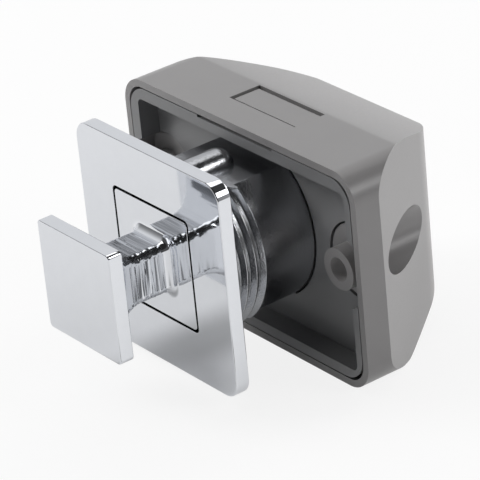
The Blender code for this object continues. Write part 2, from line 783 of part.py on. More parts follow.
def make_lock_washer(steel):
    """A split spring washer under the head of the stem screw."""
    front = STEM_SEAT + FIT_GAP
    back = front + WASHER_THICKNESS
    washer = piece("lock_washer", [drilled("Y", STEM_HEAD_RADIUS, front, back)], steel)
    bore = STEM_RADIUS + FIT_GAP
    cut(washer, "washer_bore", [drilled("Y", bore, front - OVERRUN, back + OVERRUN)])
    low = (-WASHER_SLIT / 2, front - OVERRUN, 0.0)
    high = (WASHER_SLIT / 2, back + OVERRUN, STEM_HEAD_RADIUS + OVERRUN)
    cut(washer, "washer_slit", [block(low, high)])
    return washer


def make_knob_spring(steel):
    """The return spring round the plunger, between the knob's base and the carrier's web."""
    start = KNOB_BACK + SLIDE_GAP + SPRING_WIRE_RADIUS
    end = WEB_FRONT - SLIDE_GAP - SPRING_WIRE_RADIUS
    count = SPRING_TURNS * SPRING_POINTS_PER_TURN
    points = []
    for i in range(count + 1):
        turn = 2 * math.pi * i / SPRING_POINTS_PER_TURN
        y = start + (end - start) * i / count
        points.append((SPRING_RADIUS * math.cos(turn), y, SPRING_RADIUS * math.sin(turn)))
    pitch = (end - start) / SPRING_TURNS
    print(f"knob_spring: least gap between turns {1000 * (pitch - 2 * SPRING_WIRE_RADIUS):.2f} mm")
    return tube("knob_spring", points, SPRING_WIRE_RADIUS, steel)


def make_bolt(grey):
    """The bolt's tongue and the yoke that hangs from it round the plunger."""
    shoulder = YOKE_TOP + YOKE_TOP_BAR
    side = [
        (YOKE_FRONT, BOLT_BOTTOM),
        (YOKE_BACK, BOLT_BOTTOM),
        (YOKE_BACK, shoulder),
        (BOLT_BACK, shoulder),
        (BOLT_BACK, BOLT_TOP - BOLT_CHAMFER),
        (BOLT_BACK - BOLT_CHAMFER, BOLT_TOP),
        (BOLT_FRONT + BOLT_CHAMFER, BOLT_TOP),
        (BOLT_FRONT, BOLT_TOP - BOLT_CHAMFER),
        (BOLT_FRONT, shoulder),
        (YOKE_FRONT, shoulder),
    ]
    bolt = piece("bolt", [prism("X", side, -BOLT_HALF_WIDTH, BOLT_HALF_WIDTH)], grey)
    low = (-YOKE_INNER, YOKE_FRONT - OVERRUN, BOLT_BOTTOM + YOKE_BOTTOM_BAR)
    high = (YOKE_INNER, YOKE_BACK + OVERRUN, YOKE_TOP)
    cut(bolt, "bolt_yoke_opening", [block(low, high)])
    reach = BOLT_HALF_WIDTH + OVERRUN
    hole = drilled("X", CAM_PIN_RADIUS + FIT_GAP, -reach, reach, (CAM_PIN_Y, -CAM_PIN_DROP))
    cut(bolt, "bolt_pin_holes", [hole])
    return bolt


def make_cam_pins(steel):
    """Two dowels in the yoke's side bars, whose inner ends ride in the plunger's grooves."""
    inner = PLUNGER_HALF_WIDTH - GROOVE_DEPTH + SLIDE_GAP
    centre = (CAM_PIN_Y, -CAM_PIN_DROP)
    left = drilled("X", CAM_PIN_RADIUS, -BOLT_HALF_WIDTH, -inner, centre)
    right = drilled("X", CAM_PIN_RADIUS, inner, BOLT_HALF_WIDTH, centre)
    return [piece("cam_pin_left", [left], steel), piece("cam_pin_right", [right], steel)]


def plan_outline(inset):
    """The case seen from above: straight sides, slanted facets and a back with round ends."""
    slope = FACET_INSET / (CASE_DEPTH - FACET_START)
    lean = math.hypot(1.0, slope)
    turn = (CASE_WIDTH / 2 - inset, FACET_START - inset * (lean - 1) / slope)
    back = CASE_DEPTH - inset
    end = (CASE_WIDTH / 2 - slope * (back - FACET_START) - inset * lean, back)
    rounding = corner_arc(turn, end, (0.0, back), FACET_ROUND - inset, BACK_STEPS)
    right = [(turn[0], -2 * OVERRUN), turn, *rounding]
    return right + [(-x, y) for x, y in reversed(right)]


def roof_drop(y, back, radius):
    """How far the roof and the floor have drawn in at a depth."""
    drop = 0.0
    if y > ROOF_START:
        drop += ROOF_DROP * ((y - ROOF_START) / (back - ROOF_START)) ** ROOF_BOW_POWER
    bend = y - (back - radius)
    if bend > 0:
        drop += radius - math.sqrt(max(radius**2 - bend**2, 0.0))
    return drop


def case_rings(inset, front):
    """The case seen from the front, ring by ring to its back, with the roof drawing in."""
    back = CASE_DEPTH - inset
    radius = BACK_ROUND - inset
    roof = back - ROOF_START
    turns = [math.pi / 2 * i / ROOF_STEPS for i in range(ROOF_STEPS + 1)]
    half_u = CASE_WIDTH / 2 - inset
    rings = []
    for y in [front] + [ROOF_START + roof * math.sin(turn) for turn in turns]:
        half_v = CASE_HEIGHT / 2 - inset - roof_drop(y, back, radius)
        outline = rounded(half_u, half_v, CASE_CORNER - inset, (0.0, -CASE_DROP))
        rings.append([at("Y", u, v, y) for u, v in outline])
    return rings


def plan_prism(inset):
    reach = CASE_HEIGHT / 2 + CASE_DROP + OVERRUN
    return prism("Z", plan_outline(inset), -reach, reach)


def make_rear_cover(grey):
    cover = piece("rear_cover", [case_rings(0.0, 0.0)], grey)
    keep_inside(cover, "cover_plan", [plan_prism(0.0)])
    hollow = helper("cover_hollow", [case_rings(CASE_WALL, -OVERRUN)])
    keep_inside(hollow, "cover_hollow_plan", [plan_prism(CASE_WALL)])
    for name, shells in cover_fittings():
        cut(hollow, name, shells)
    combine(cover, "DIFFERENCE", hollow)
    beyond = CASE_DEPTH + OVERRUN
    shoulder = TUNNEL_FRONT + TUNNEL_SHOULDER
    for side, sign in (("right", 1), ("left", -1)):
        steps = [
            (POST_HOLE, -OVERRUN),
            (POST_HOLE, shoulder),
            (TUNNEL_BORE, shoulder),
            (TUNNEL_BORE, beyond),
        ]
        cut(cover, f"cover_bore_{side}", [turned("Y", steps, (sign * TUNNEL_X, 0.0))])
    low = (-BOLT_HALF_WIDTH - SLIDE_GAP, BOLT_FRONT - SLIDE_GAP, CASE_TOP - CASE_WALL - OVERRUN)
    high = (BOLT_HALF_WIDTH + SLIDE_GAP, BOLT_BACK + SLIDE_GAP, CASE_TOP + OVERRUN)
    cut(cover, "cover_window", [block(low, high)])
    cut(cover, "cover_snap_recesses", snaps(SLIDE_GAP))
    wire_hole = WIRE_RADIUS + SLIDE_GAP
    deep = SHELF_TOP - WIRE_LEG
    hole = drilled("Z", wire_hole, deep, SHELF_TOP + OVERRUN, (0.0, WIRE_PIVOT_Y))
    cut(cover, "shelf_wire_hole", [hole])
    radius = LEAF_SCREW_RADIUS + FIT_GAP
    hole = drilled("Z", radius, deep, SHELF_TOP + OVERRUN, (0.0, LEAF_SCREW_Y))
    cut(cover, "shelf_screw_hole", [hole])


def cover_fittings():
    """The solids that stand inside the cover: screw tunnels, bolt guides and the wire's shelf."""
    beyond = CASE_DEPTH + OVERRUN
    tunnels = [drilled("Y", TUNNEL_RADIUS, TUNNEL_FRONT, beyond, (TUNNEL_X, 0.0))]
    posts = [drilled("Y", POST_RADIUS, 0.0, TUNNEL_FRONT + OVERRUN, (TUNNEL_X, 0.0))]
    reach = CASE_HEIGHT / 2 + CASE_DROP + OVERRUN
    rail_back = BOLT_BACK + SLIDE_GAP + RAIL_THICKNESS
    low = (RAIL_INNER, RAIL_FRONT, -reach)
    high = (RAIL_OUTER, rail_back, reach)
    rails = [block(low, high)]
    low = (LEDGE_INNER, LEDGE_FRONT, -reach)
    high = (RAIL_INNER + OVERRUN, LEDGE_FRONT + LEDGE_THICKNESS, YOKE_TOP)
    ledges = [block(low, high)]
    shelf_front = WIRE_PIVOT_Y - SHELF_PIVOT_MARGIN
    low = (-SHELF_HALF_WIDTH, shelf_front, SHELF_TOP - SHELF_HEIGHT)
    high = (SHELF_HALF_WIDTH, beyond, SHELF_TOP)
    return (
        ("cover_tunnels", mirrored_x(tunnels)),
        ("cover_posts", mirrored_x(posts)),
        ("cover_rails", mirrored_x(rails)),
        ("cover_ledges", mirrored_x(ledges)),
        ("cover_shelf", [block(low, high)]),
    )


def snaps(gap):
    """The liner's four snap bumps, or with a gap the recesses that they catch in."""
    low_y = SNAP_FRONT - gap
    high_y = SNAP_FRONT + SNAP_LENGTH + gap
    bumps = []
    for sign in SIGNS:
        root = sign * (LINER_HALF_HEIGHT - OVERRUN) - CASE_DROP
        tip = sign * (LINER_HALF_HEIGHT + SNAP_HEIGHT + gap) - CASE_DROP
        low = (SNAP_X - SNAP_HALF - gap, low_y, min(root, tip))
        high = (SNAP_X + SNAP_HALF + gap, high_y, max(root, tip))
        bumps.append(block(low, high))
    return mirrored_x(bumps)


def make_liner(grey):
    """The tray in the mouth of the case, which holds the barrel and the carrier."""
    centre = (0.0, -CASE_DROP)
    corner = CASE_CORNER - CASE_WALL - FIT_GAP
    outline = rounded(LINER_HALF_WIDTH, LINER_HALF_HEIGHT, corner, centre)
    liner = piece("liner", [prism("Y", outline, 0.0, LINER_BACK)], grey)
    keep_inside(liner, "liner_plan", [plan_prism(CASE_WALL + FIT_GAP)])
    half_u = LINER_HALF_WIDTH - LINER_SIDE_WALL
    half_v = LINER_HALF_HEIGHT - LINER_LONG_WALL
    pocket = prism("Y", rounded(half_u, half_v, LINER_CORNER, centre), -OVERRUN, LINER_DEPTH)
    cut(liner, "liner_pocket", [pocket])
    top = LINER_HALF_HEIGHT - CASE_DROP
    low = (-RELIEF_HALF, -OVERRUN, top - RELIEF_DEPTH)
    high = (RELIEF_HALF, LINER_BACK + OVERRUN, top + OVERRUN)
    cut(liner, "liner_relief", [block(low, high)])
    join(liner, "liner_snaps", snaps(0.0))
    root = LINER_DEPTH + LINER_FLOOR / 2
    posts = [
        drilled("Y", LINER_POST_RADIUS, root, LINER_POST_BACK, place_of)
        for place_of in carrier_screw_places()
    ]
    join(liner, "liner_posts", posts)
    hole_outline = flatted(BARREL_RADIUS + SLIDE_GAP, FLAT_HALF + SLIDE_GAP)
    hole = prism("Y", hole_outline, -OVERRUN, LINER_BACK + OVERRUN)
    cut(liner, "liner_barrel_hole", [hole])
    radius = TUNNEL_RADIUS + SLIDE_GAP
    clear = drilled("Y", radius, -OVERRUN, LINER_BACK + OVERRUN, (TUNNEL_X, 0.0))
    cut(liner, "liner_tunnel_clearance", mirrored_x([clear]))
    radius = CARRIER_SCREW_RADIUS + FIT_GAP
    deep = LINER_DEPTH + LINER_HOLE_FLOOR
    holes = [
        drilled("Y", radius, deep, LINER_POST_BACK + OVERRUN, place_of)
        for place_of in carrier_screw_places()
    ]
    cut(liner, "liner_screw_holes", holes)


def make_catch_wire(steel):
    """The bent wire whose tip runs in the plunger's track and whose leg turns in the shelf."""
    tip = (-LANE_X, CAM_PIN_Y, WIRE_TIP_Z)
    near = (-LANE_X, CAM_PIN_Y, WIRE_RUN_Z)
    pivot = (0.0, WIRE_PIVOT_Y, WIRE_RUN_Z)
    foot = (0.0, WIRE_PIVOT_Y, WIRE_RUN_Z - WIRE_LEG)
    points = [tip, *corner_arc(tip, near, pivot, WIRE_BEND)]
    points += [*corner_arc(near, pivot, foot, WIRE_BEND), foot]
    return tube("catch_wire", points, WIRE_RADIUS, steel)


def make_catch_leaf(steel):
    """The flat spring on the shelf that lifts the catch wire into its track."""
    back = LEAF_SCREW_Y + LEAF_SCREW_MARGIN
    low = (-LEAF_HALF_WIDTH, back - LEAF_LENGTH, LEAF_TOP - LEAF_THICKNESS)
    high = (LEAF_HALF_WIDTH, back, LEAF_TOP)
    leaf = piece("catch_leaf", [block(low, high)], steel)
    under = LEAF_TOP - LEAF_THICKNESS - OVERRUN
    over = LEAF_TOP + OVERRUN
    wire_hole = drilled("Z", WIRE_RADIUS + SLIDE_GAP, under, over, (0.0, WIRE_PIVOT_Y))
    screw_hole = drilled("Z", LEAF_SCREW_RADIUS + FIT_GAP, under, over, (0.0, LEAF_SCREW_Y))
    cut(leaf, "leaf_wire_hole", [wire_hole])
    cut(leaf, "leaf_screw_hole", [screw_hole])


def make_catch_leaf_screw(steel):
    screw(
        "catch_leaf_screw",
        steel,
        "Z",
        (0.0, LEAF_SCREW_Y),
        LEAF_TOP + FIT_GAP,
        LEAF_SCREW_LENGTH,
        LEAF_SCREW_RADIUS,
        LEAF_SCREW_HEAD,
        LEAF_SCREW_HEAD_HEIGHT,
    )


def main():
    clear_scene()
    chrome = finish("chrome", CHROME_COLOUR, CHROME_ROUGHNESS, 1.0)
    zinc = finish("zinc", ZINC_COLOUR, ZINC_ROUGHNESS, 1.0)
    steel = finish("steel", STEEL_COLOUR, STEEL_ROUGHNESS, 1.0)
    cover_grey = finish("cover_grey", COVER_COLOUR, COVER_ROUGHNESS, 0.0)
    liner_grey = finish("liner_grey", LINER_COLOUR, LINER_ROUGHNESS, 0.0)
    black = finish("black", BLACK_COLOUR, BLACK_ROUGHNESS, 0.0)
    make_rosette(chrome)
    make_barrel(chrome)
    make_carrier(zinc)
    make_barrel_screws(steel)
    make_carrier_screws(steel)
    make_rear_cover(cover_grey)
    make_liner(liner_grey)
    make_knob_spring(steel)
    make_catch_leaf(steel)
    make_catch_leaf_screw(steel)
    pushed = [
        make_knob(chrome),
        make_plunger(black),
        make_stem_screw(steel),
        make_lock_washer(steel),
    ]
    ride("knob_travel", (0.0, 0.0, 0.0), pushed)
    ride("bolt_travel", (0.0, CAM_PIN_Y, 0.0), [make_bolt(cover_grey), *make_cam_pins(steel)])
    ride("catch_pivot", (0.0, WIRE_PIVOT_Y, WIRE_RUN_Z), [make_catch_wire(steel)])


if __name__ == "__main__":
    main()
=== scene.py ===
"""The visible pieces of a pushbutton cabinet latch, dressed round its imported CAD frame.

Metres, +Z up. The barrel's axis is the Y axis, the knob points to -Y, and the plane y = 0 is
the door's inner face. Every piece takes its place from the frame's own boxes.
"""

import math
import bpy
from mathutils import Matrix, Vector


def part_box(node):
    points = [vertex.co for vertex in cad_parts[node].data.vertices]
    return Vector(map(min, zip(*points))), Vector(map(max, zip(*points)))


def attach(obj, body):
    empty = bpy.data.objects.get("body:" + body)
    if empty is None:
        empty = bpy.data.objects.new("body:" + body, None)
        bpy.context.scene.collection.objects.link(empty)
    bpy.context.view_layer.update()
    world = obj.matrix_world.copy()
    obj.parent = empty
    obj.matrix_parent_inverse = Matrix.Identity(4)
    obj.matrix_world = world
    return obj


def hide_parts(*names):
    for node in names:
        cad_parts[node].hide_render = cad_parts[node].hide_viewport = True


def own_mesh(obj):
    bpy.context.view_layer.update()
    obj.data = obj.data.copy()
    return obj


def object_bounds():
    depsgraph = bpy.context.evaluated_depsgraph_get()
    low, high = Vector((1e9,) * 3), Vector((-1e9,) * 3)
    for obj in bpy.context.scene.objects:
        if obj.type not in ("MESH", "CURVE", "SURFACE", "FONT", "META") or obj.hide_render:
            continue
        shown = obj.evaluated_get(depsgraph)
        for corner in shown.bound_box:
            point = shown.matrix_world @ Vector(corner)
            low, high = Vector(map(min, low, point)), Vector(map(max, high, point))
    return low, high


bl_info = {
    "name": "Pushbutton cabinet latch",
    "version": (1, 0, 0),
    "blender": (4, 5, 0),
    "location": "3D View > Sidebar > Latch",
    "description": "Builds the chrome, plastic and steel pieces of a pushbutton cabinet latch",
    "category": "Add Mesh",
}

import bmesh
import bpy
from bpy.props import FloatProperty, FloatVectorProperty, IntProperty, PointerProperty
from mathutils import Matrix, Vector, noise

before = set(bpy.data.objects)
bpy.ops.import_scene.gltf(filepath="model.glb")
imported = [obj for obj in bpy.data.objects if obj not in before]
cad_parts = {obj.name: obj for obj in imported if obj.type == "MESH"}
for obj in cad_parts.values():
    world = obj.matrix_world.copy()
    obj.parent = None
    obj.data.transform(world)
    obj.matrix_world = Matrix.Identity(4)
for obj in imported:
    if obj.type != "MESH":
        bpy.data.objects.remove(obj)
CAD_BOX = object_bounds()
ROSETTE_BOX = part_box("rosette")
KNOB_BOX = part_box("knob")
BARREL_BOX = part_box("barrel")
COVER_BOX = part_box("rear_cover")
LINER_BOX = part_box("liner")
BOLT_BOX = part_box("bolt")
SPRING_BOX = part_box("knob_spring")
PIN_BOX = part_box("cam_pin_right")
LEAF_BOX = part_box("catch_leaf")
LEAF_SCREW_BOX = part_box("catch_leaf_screw")
WIRE_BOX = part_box("catch_wire")
STEM_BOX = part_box("stem_screw")
BARREL_SCREW_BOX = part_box("barrel_screw_1")
CARRIER_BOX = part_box("carrier")
CARRIER_SCREW_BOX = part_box("carrier_screw_1")

RIGHT_ANGLE = math.pi / 2
FULL_TURN = 2 * math.pi
BEYOND = 0.001
SIDES = (1, -1)
X, Y, Z = range(3)

# Angles in degrees over which an edge is rounded or shaded sharp, and how much flat faces stay flat
SHARP_EDGE = 40.0
BARREL_EDGE = 24.0
CASE_LONG_EDGE = 20.0
SHADED_SHARP = 35.0
MOULDED_SHARP = 30.0
FLAT_FACE_WEIGHT = 80

# Widths of the edges' rounding
BARREL_ROUND = 0.00007
CASE_LONG_ROUND = 0.0003
LINER_ROUND = 0.0002
TONGUE_ROUND = 0.00012
MOULDED_STEPS = 3

# Steps of the round shapes
CORNER_STEPS = 12
EDGE_STEPS = 4
BARREL_STEPS = 144
BORE_STEPS = 64
RIB_STEPS = 48
NECK_STEPS = 64
TOOTH_STEPS = 12
SPRING_STEPS = 48
WIRE_STEPS = 16
FLARE_STEPS = 56
FILLET_STEPS = 10
PLAN_STEPS = 28
ROOF_STEPS = 32


def linear(code, alpha=1.0):
    """An sRGB hex colour as linear red, green, blue and alpha."""
    parts = [int(code[i : i + 2], 16) / 255 for i in (1, 3, 5)]
    plain = [c / 12.92 if c <= 0.04045 else ((c + 0.055) / 1.055) ** 2.4 for c in parts]
    return (*plain, alpha)


def centre_along(box, axis):
    """The middle of a box along an axis."""
    return (box[0][axis] + box[1][axis]) / 2


def length_along(box, axis):
    """How long a box is along an axis."""
    return box[1][axis] - box[0][axis]


def length(name, default, description):
    return FloatProperty(name=name, default=default, description=description, unit="LENGTH", precision=5)


def colour(name, code, description):
    return FloatVectorProperty(
        name=name, default=linear(code), description=description, subtype="COLOR", size=4, min=0.0, max=1.0
    )


class LatchChromeSizes(bpy.types.PropertyGroup):
    """Sizes of the chrome pieces."""

    rosette_corner: length("Rosette corner", 0.0034, "Radius of the rosette's corners")
    rosette_edge: length("Rosette edge", 0.00025, "Rounding along the rosette's edges")
    rosette_lip: length("Rosette lip", 0.0009, "Thickness of the plate over the barrel's recess")
    opening_half: length("Opening half side", 0.0106, "Half of the rosette's square opening")
    opening_corner: length("Opening corner", 0.0010, "Radius of the opening's corners")
    recess_radius: length("Recess radius", 0.0160, "Radius of the recess for the barrel")
    knob_corner: length("Knob corner", 0.0008, "Radius of the knob's corners")
    knob_edge: length("Knob edge", 0.00022, "Rounding along the knob's edges")
    gap_edge: length("Gap edge", 0.00007, "Rounding along the gap between knob and rosette")
    base_play: length("Base play", 0.0001, "How far the knob's base stands back from its plate's sides")
    knob_plate: length("Knob plate", 0.0028, "Thickness of the knob's front plate")
    neck_half: length("Neck half width", 0.00458, "Half of the neck's width where it is straight")
    neck_straight: length("Neck straight", 0.0066, "How far the neck is straight in front of the rosette")
    flare_margin: length("Flare margin", 0.0003, "Rim of the plate's back outside the neck's flare")
    neck_corner: length("Neck corner", 0.0014, "Radius of the neck's long corners")
    neck_fillet: length("Neck fillet", 0.0018, "Fillet where the neck meets its base")


class LatchBarrelSizes(bpy.types.PropertyGroup):
    """Sizes of the barrel."""

    radius: length("Barrel radius", 0.01485, "Radius of the plain rear part")
    crest: length("Crest height", 0.00085, "Height of the ring crests")
    crest_foot: length("Crest foot", 0.0010, "Width of a crest's foot")
    crest_land: length("Crest land", 0.0003, "Width of a crest's top")
    pitch: length("Crest pitch", 0.0020, "Distance from crest to crest")
    count: IntProperty(name="Crests", default=6, min=1, description="Number of ring crests")
    flat_half: length("Flat half", 0.0124, "Distance of the flats from the axis")
    rib_radius: length("Rib radius", 0.0029, "Radius of the rib on each flat")
    rib_end: length("Rib end", 0.0013, "Distance of the rib's domed end from the door's inner face")
    channel_corner: length("Channel corner", 0.0013, "Radius of the channel's corners")


class LatchCaseSizes(bpy.types.PropertyGroup):
    """Sizes of the case behind the door."""

    wall: length("Wall", 0.00135, "Wall thickness")
    corner: length("Corner", 0.0053, "Radius of the case's long edges")
    facet_start: length("Facet start", 0.00505, "Depth at which the slanted facets start")
    facet_inset: length("Facet inset", 0.01595, "How far the facets would draw the sides in at the back")
    facet_round: length("Facet rounding", 0.0164, "Radius that joins the facets to the back")
    back_round: length("Back rounding", 0.0020, "Rounding of the roof's back edge")
    roof_start: length("Roof start", 0.0129, "Depth at which the roof starts to fall")
    roof_drop: length("Roof drop", 0.0068, "How far the roof falls towards the back")
    tunnel_x: length("Tunnel place", 0.0260, "Distance of the screw tunnels from the middle")
    tunnel_bore: length("Tunnel bore", 0.00475, "Radius of the screw tunnels")
    edge: length("Edge", 0.00025, "Rounding along the moulded edges")


class LatchFinishes(bpy.types.PropertyGroup):
    """Colours of the finishes."""

    chrome: colour("Chrome", "#E6E8EC", "Polished chrome plate")
    cover: colour("Case", "#918F8F", "Grey plastic of the case")
    liner: colour("Liner", "#7F7F80", "Darker grey plastic of the liner")
    zinc: colour("Zinc", "#B9BCBE", "Plain zinc die casting")
    steel: colour("Steel", "#C9CBCC", "Zinc-plated steel")
    acetal: colour("Plunger", "#1D1D1F", "Black engineering plastic")


class LatchStageSettings(bpy.types.PropertyGroup):
    """Floor and camera."""

    floor_colour: colour("Floor", "#FAFAFA", "Colour of the floor")
    floor_half: length("Floor half side", 3.0, "Half of the floor's side")
    focal: FloatProperty(
        name="Focal length", default=253.435, description="Focal length for a 36 mm frame", unit="CAMERA"
    )


# Meshes


def spread(start, end, steps):
    """Even steps from start to end, with both ends."""
    return [start + (end - start) * i / steps for i in range(steps + 1)]


def arc(radius, turns, centre=(0.0, 0.0)):
    """Points round a centre, one at each turn."""
    return [(centre[0] + radius * math.cos(t), centre[1] + radius * math.sin(t)) for t in turns]


def rounded(half_u, half_v, corner, steps=CORNER_STEPS, centre=(0.0, 0.0), hold=0.0):
    """A rectangle's outline with round corners. hold puts a point on each side near its corners."""
    points = []
    for quarter, (su, sv) in enumerate(((1, 1), (-1, 1), (-1, -1), (1, -1))):
        pivot = (centre[0] + su * (half_u - corner), centre[1] + sv * (half_v - corner))
        turns = spread(quarter * RIGHT_ANGLE, (quarter + 1) * RIGHT_ANGLE, steps)
        bend = arc(corner, turns, pivot)
        if hold:
            first, last = turns[0], turns[-1]
            before = (bend[0][0] + hold * math.sin(first), bend[0][1] - hold * math.cos(first))
            after = (bend[-1][0] - hold * math.sin(last), bend[-1][1] + hold * math.cos(last))
            bend = [before, *bend, after]
        points += bend
    return points


def circle(radius, steps, centre=(0.0, 0.0)):
    return arc(radius, [FULL_TURN * (i + 0.5) / steps for i in range(steps)], centre)


def along_y(outline, y):
    return [(u, y, v) for u, v in outline]


def along_z(outline, z):
    return [(u, v, z) for u, v in outline]


def along_x(outline, x):
    return [(x, u, v) for u, v in outline]


def drawn(along, outline, low, high):
    """The two rings of an outline drawn out along an axis."""
    return [along(outline, low), along(outline, high)]


def block(low, high):
    outline = [(low[0], low[1]), (high[0], low[1]), (high[0], high[1]), (low[0], high[1])]
    return drawn(along_z, outline, low[2], high[2])


def drilled(radius, low, high, centre=(0.0, 0.0), steps=BORE_STEPS):
    """The two rings of a round bore or post along Y."""
    return turned([(radius, low), (radius, high)], centre, steps)


def turned(profile, centre=(0.0, 0.0), steps=BORE_STEPS):
    """The rings of a profile of (radius, y) turned round an axis along Y."""
    return [along_y(circle(radius, steps, centre), y) for radius, y in profile]


def mirrored(shells):
    """Shells and their mirror images on the other side of the plane x = 0."""
    return shells + [[[(-x, y, z) for x, y, z in ring] for ring in rings] for rings in shells]


def put(name, mesh):
    made = bpy.data.objects.new(name, mesh)
    bpy.context.scene.collection.objects.link(made)
    return made


def solid(name, shells, closed=False):
    """An object from shells, each a list of rings that are bridged and capped, or closed into a loop."""
    built = bmesh.new()
    for rings in shells:
        rows = [[built.verts.new(point) for point in ring] for ring in rings]
        pairs = list(zip(rows, rows[1:]))
        if closed:
            pairs.append((rows[-1], rows[0]))
        else:
            built.faces.new(list(reversed(rows[0])))
            built.faces.new(rows[-1])
        for row, following in pairs:
            for i, vertex in enumerate(row):
                after = (i + 1) % len(row)
                built.faces.new((vertex, row[after], following[after], following[i]))
    bmesh.ops.recalc_face_normals(built, faces=built.faces)
    mesh = bpy.data.meshes.new(name)
    built.to_mesh(mesh)
    built.free()
    return put(name, mesh)


def settled(made):
    """Replaces an object's mesh with the result of its modifiers."""
    view = bpy.context.evaluated_depsgraph_get()
    result = bpy.data.meshes.new_from_object(made.evaluated_get(view), depsgraph=view)
    old = made.data
    made.modifiers.clear()
    made.data = result
    result.name = made.name
    bpy.data.meshes.remove(old)
    return made


def discard(made):
    """Removes an object and its mesh."""
    mesh = made.data
    bpy.data.objects.remove(made)
    bpy.data.meshes.remove(mesh)


def carve(body, operation, shells):
    """Cuts, joins or intersects a body with shells, at once."""
    tool = shells if isinstance(shells, bpy.types.Object) else solid(body.name + "_tool", shells)
    modifier = body.modifiers.new("carve", "BOOLEAN")
    modifier.operation = operation
    modifier.solver = "EXACT"
    modifier.object = tool
    settled(body)
    discard(tool)
    return body


def soften(body, width, angle_deg, segments=2):
    """Rounds the edges that are sharper than an angle."""
    bevel = body.modifiers.new("edges", "BEVEL")
    bevel.width = width
    bevel.segments = segments
    bevel.limit_method = "ANGLE"
    bevel.angle_limit = math.radians(angle_deg)
    bevel.use_clamp_overlap = True
    bevel.miter_outer = "MITER_ARC"
    return settled(body)


def smoothed(body, angle_deg=SHADED_SHARP):
    """Smooth shading with flat faces kept flat."""
    mesh = body.data
    mesh.shade_smooth()
    mesh.set_sharp_from_angle(angle=math.radians(angle_deg))
    weights = body.modifiers.new("normals", "WEIGHTED_NORMAL")
    weights.keep_sharp = True
    weights.weight = FLAT_FACE_WEIGHT
    return settled(body)


def growth_tree(name, inputs):
    """A Geometry Nodes tree with named inputs. Gives the tree, its inputs' sockets and its output node."""
    tree = bpy.data.node_groups.new(name, "GeometryNodeTree")
    tree.interface.new_socket(name="Geometry", in_out="INPUT", socket_type="NodeSocketGeometry")
    for label, kind in inputs.items():
        tree.interface.new_socket(name=label, in_out="INPUT", socket_type="NodeSocket" + kind)
    tree.interface.new_socket(name="Geometry", in_out="OUTPUT", socket_type="NodeSocketGeometry")
    given = node(tree, "NodeGroupInput").outputs
    return tree, given, node(tree, "NodeGroupOutput")


def finish_growth(tree, geometry, given, result):
    """Ends a tree: what it made becomes plain geometry with its material."""
    real = node(tree, "GeometryNodeRealizeInstances", {"Geometry": geometry})
    links = {"Geometry": real.outputs[0], "Material": given["Finish"]}
    dressed = node(tree, "GeometryNodeSetMaterial", links)
    tree.links.new(dressed.outputs[0], result.inputs[0])


def grown(name, tree, values):
    """The plain mesh that a Geometry Nodes tree makes from its inputs' values."""
    made = put(name, bpy.data.meshes.new(name))
    modifier = made.modifiers.new("growth", "NODES")
    modifier.node_group = tree
    for item in tree.interface.items_tree:
        if item.in_out == "INPUT" and item.name in values:
            modifier[item.identifier] = values[item.name]
    return settled(made)


def dress(made, material, body, slot, *nodes):
    """Gives a finished piece its material and its body, and hides the nodes that it stands for. The slot is
    not used.
    """
    if not made.data.polygons:
        raise RuntimeError(made.name + " came out empty")
    made.data.materials.clear()
    made.data.materials.append(material)
    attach(made, body)
    if nodes:
        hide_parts(*nodes)
    return made


# Materials


def node(tree, kind, links=None, **settings):
    """Adds a node with its settings, and fills its inputs with values or other nodes' outputs."""
    made = tree.nodes.new(kind)
    for name, value in settings.items():
        setattr(made, name, value)
    for socket, value in (links or {}).items():
        if isinstance(value, bpy.types.NodeSocket):
            tree.links.new(value, made.inputs[socket])
        else:
            made.inputs[socket].default_value = value
    return made


def blank(name):
    """A material with only an output and a Principled shader, and its object coordinates."""
    made = bpy.data.materials.new(name)
    made.use_nodes = True
    tree = made.node_tree
    tree.nodes.clear()
    shader = node(tree, "ShaderNodeBsdfPrincipled")
    node(tree, "ShaderNodeOutputMaterial", {"Surface": shader.outputs[0]})
    place = node(tree, "ShaderNodeTexCoord").outputs["Object"]
    return made, tree, shader, place


def shade(base, factor):
    """A colour made darker or lighter by a factor."""
    return (base[0] * factor, base[1] * factor, base[2] * factor, 1.0)


# Widths of the finishes' patterns
CHROME_CLOUD = 0.0025
CHROME_WAVE = 0.0007
FLOW_CLOUD = 0.012
WAVE_STRETCH = (0.15, 1.0, 0.15)
NOISE_MIDDLE = (0.3, 0.7)

# How much a pattern darkens and brightens the colour, and how much it smooths and roughens the shine
CHROME_RANGES = (0.95, 1.0, 0.8, 1.3)
PLASTIC_RANGES = (0.95, 1.05, 0.92, 1.08)
METAL_RANGES = (0.85, 1.0, 0.8, 1.2)
PLASTIC_IOR = 1.53


def set_surface(tree, shader, base, roughness, ranges, tone_by, gloss_by, normal):
    """Lets patterns vary a shader's colour and roughness within ranges, and gives it its normal."""
    darker, lighter, smoother, rougher = ranges
    links = {0: tone_by, 6: shade(base, darker), 7: shade(base, lighter)}
    tone = node(tree, "ShaderNodeMix", links, data_type="RGBA").outputs[2]
    low, high = NOISE_MIDDLE
    links = {0: gloss_by, 1: low, 2: high, 3: roughness * smoother, 4: roughness * rougher}
    gloss = node(tree, "ShaderNodeMapRange", links).outputs[0]
    for socket, value in (("Base Color", tone), ("Roughness", gloss), ("Normal", normal)):
        tree.links.new(value, shader.inputs[socket])


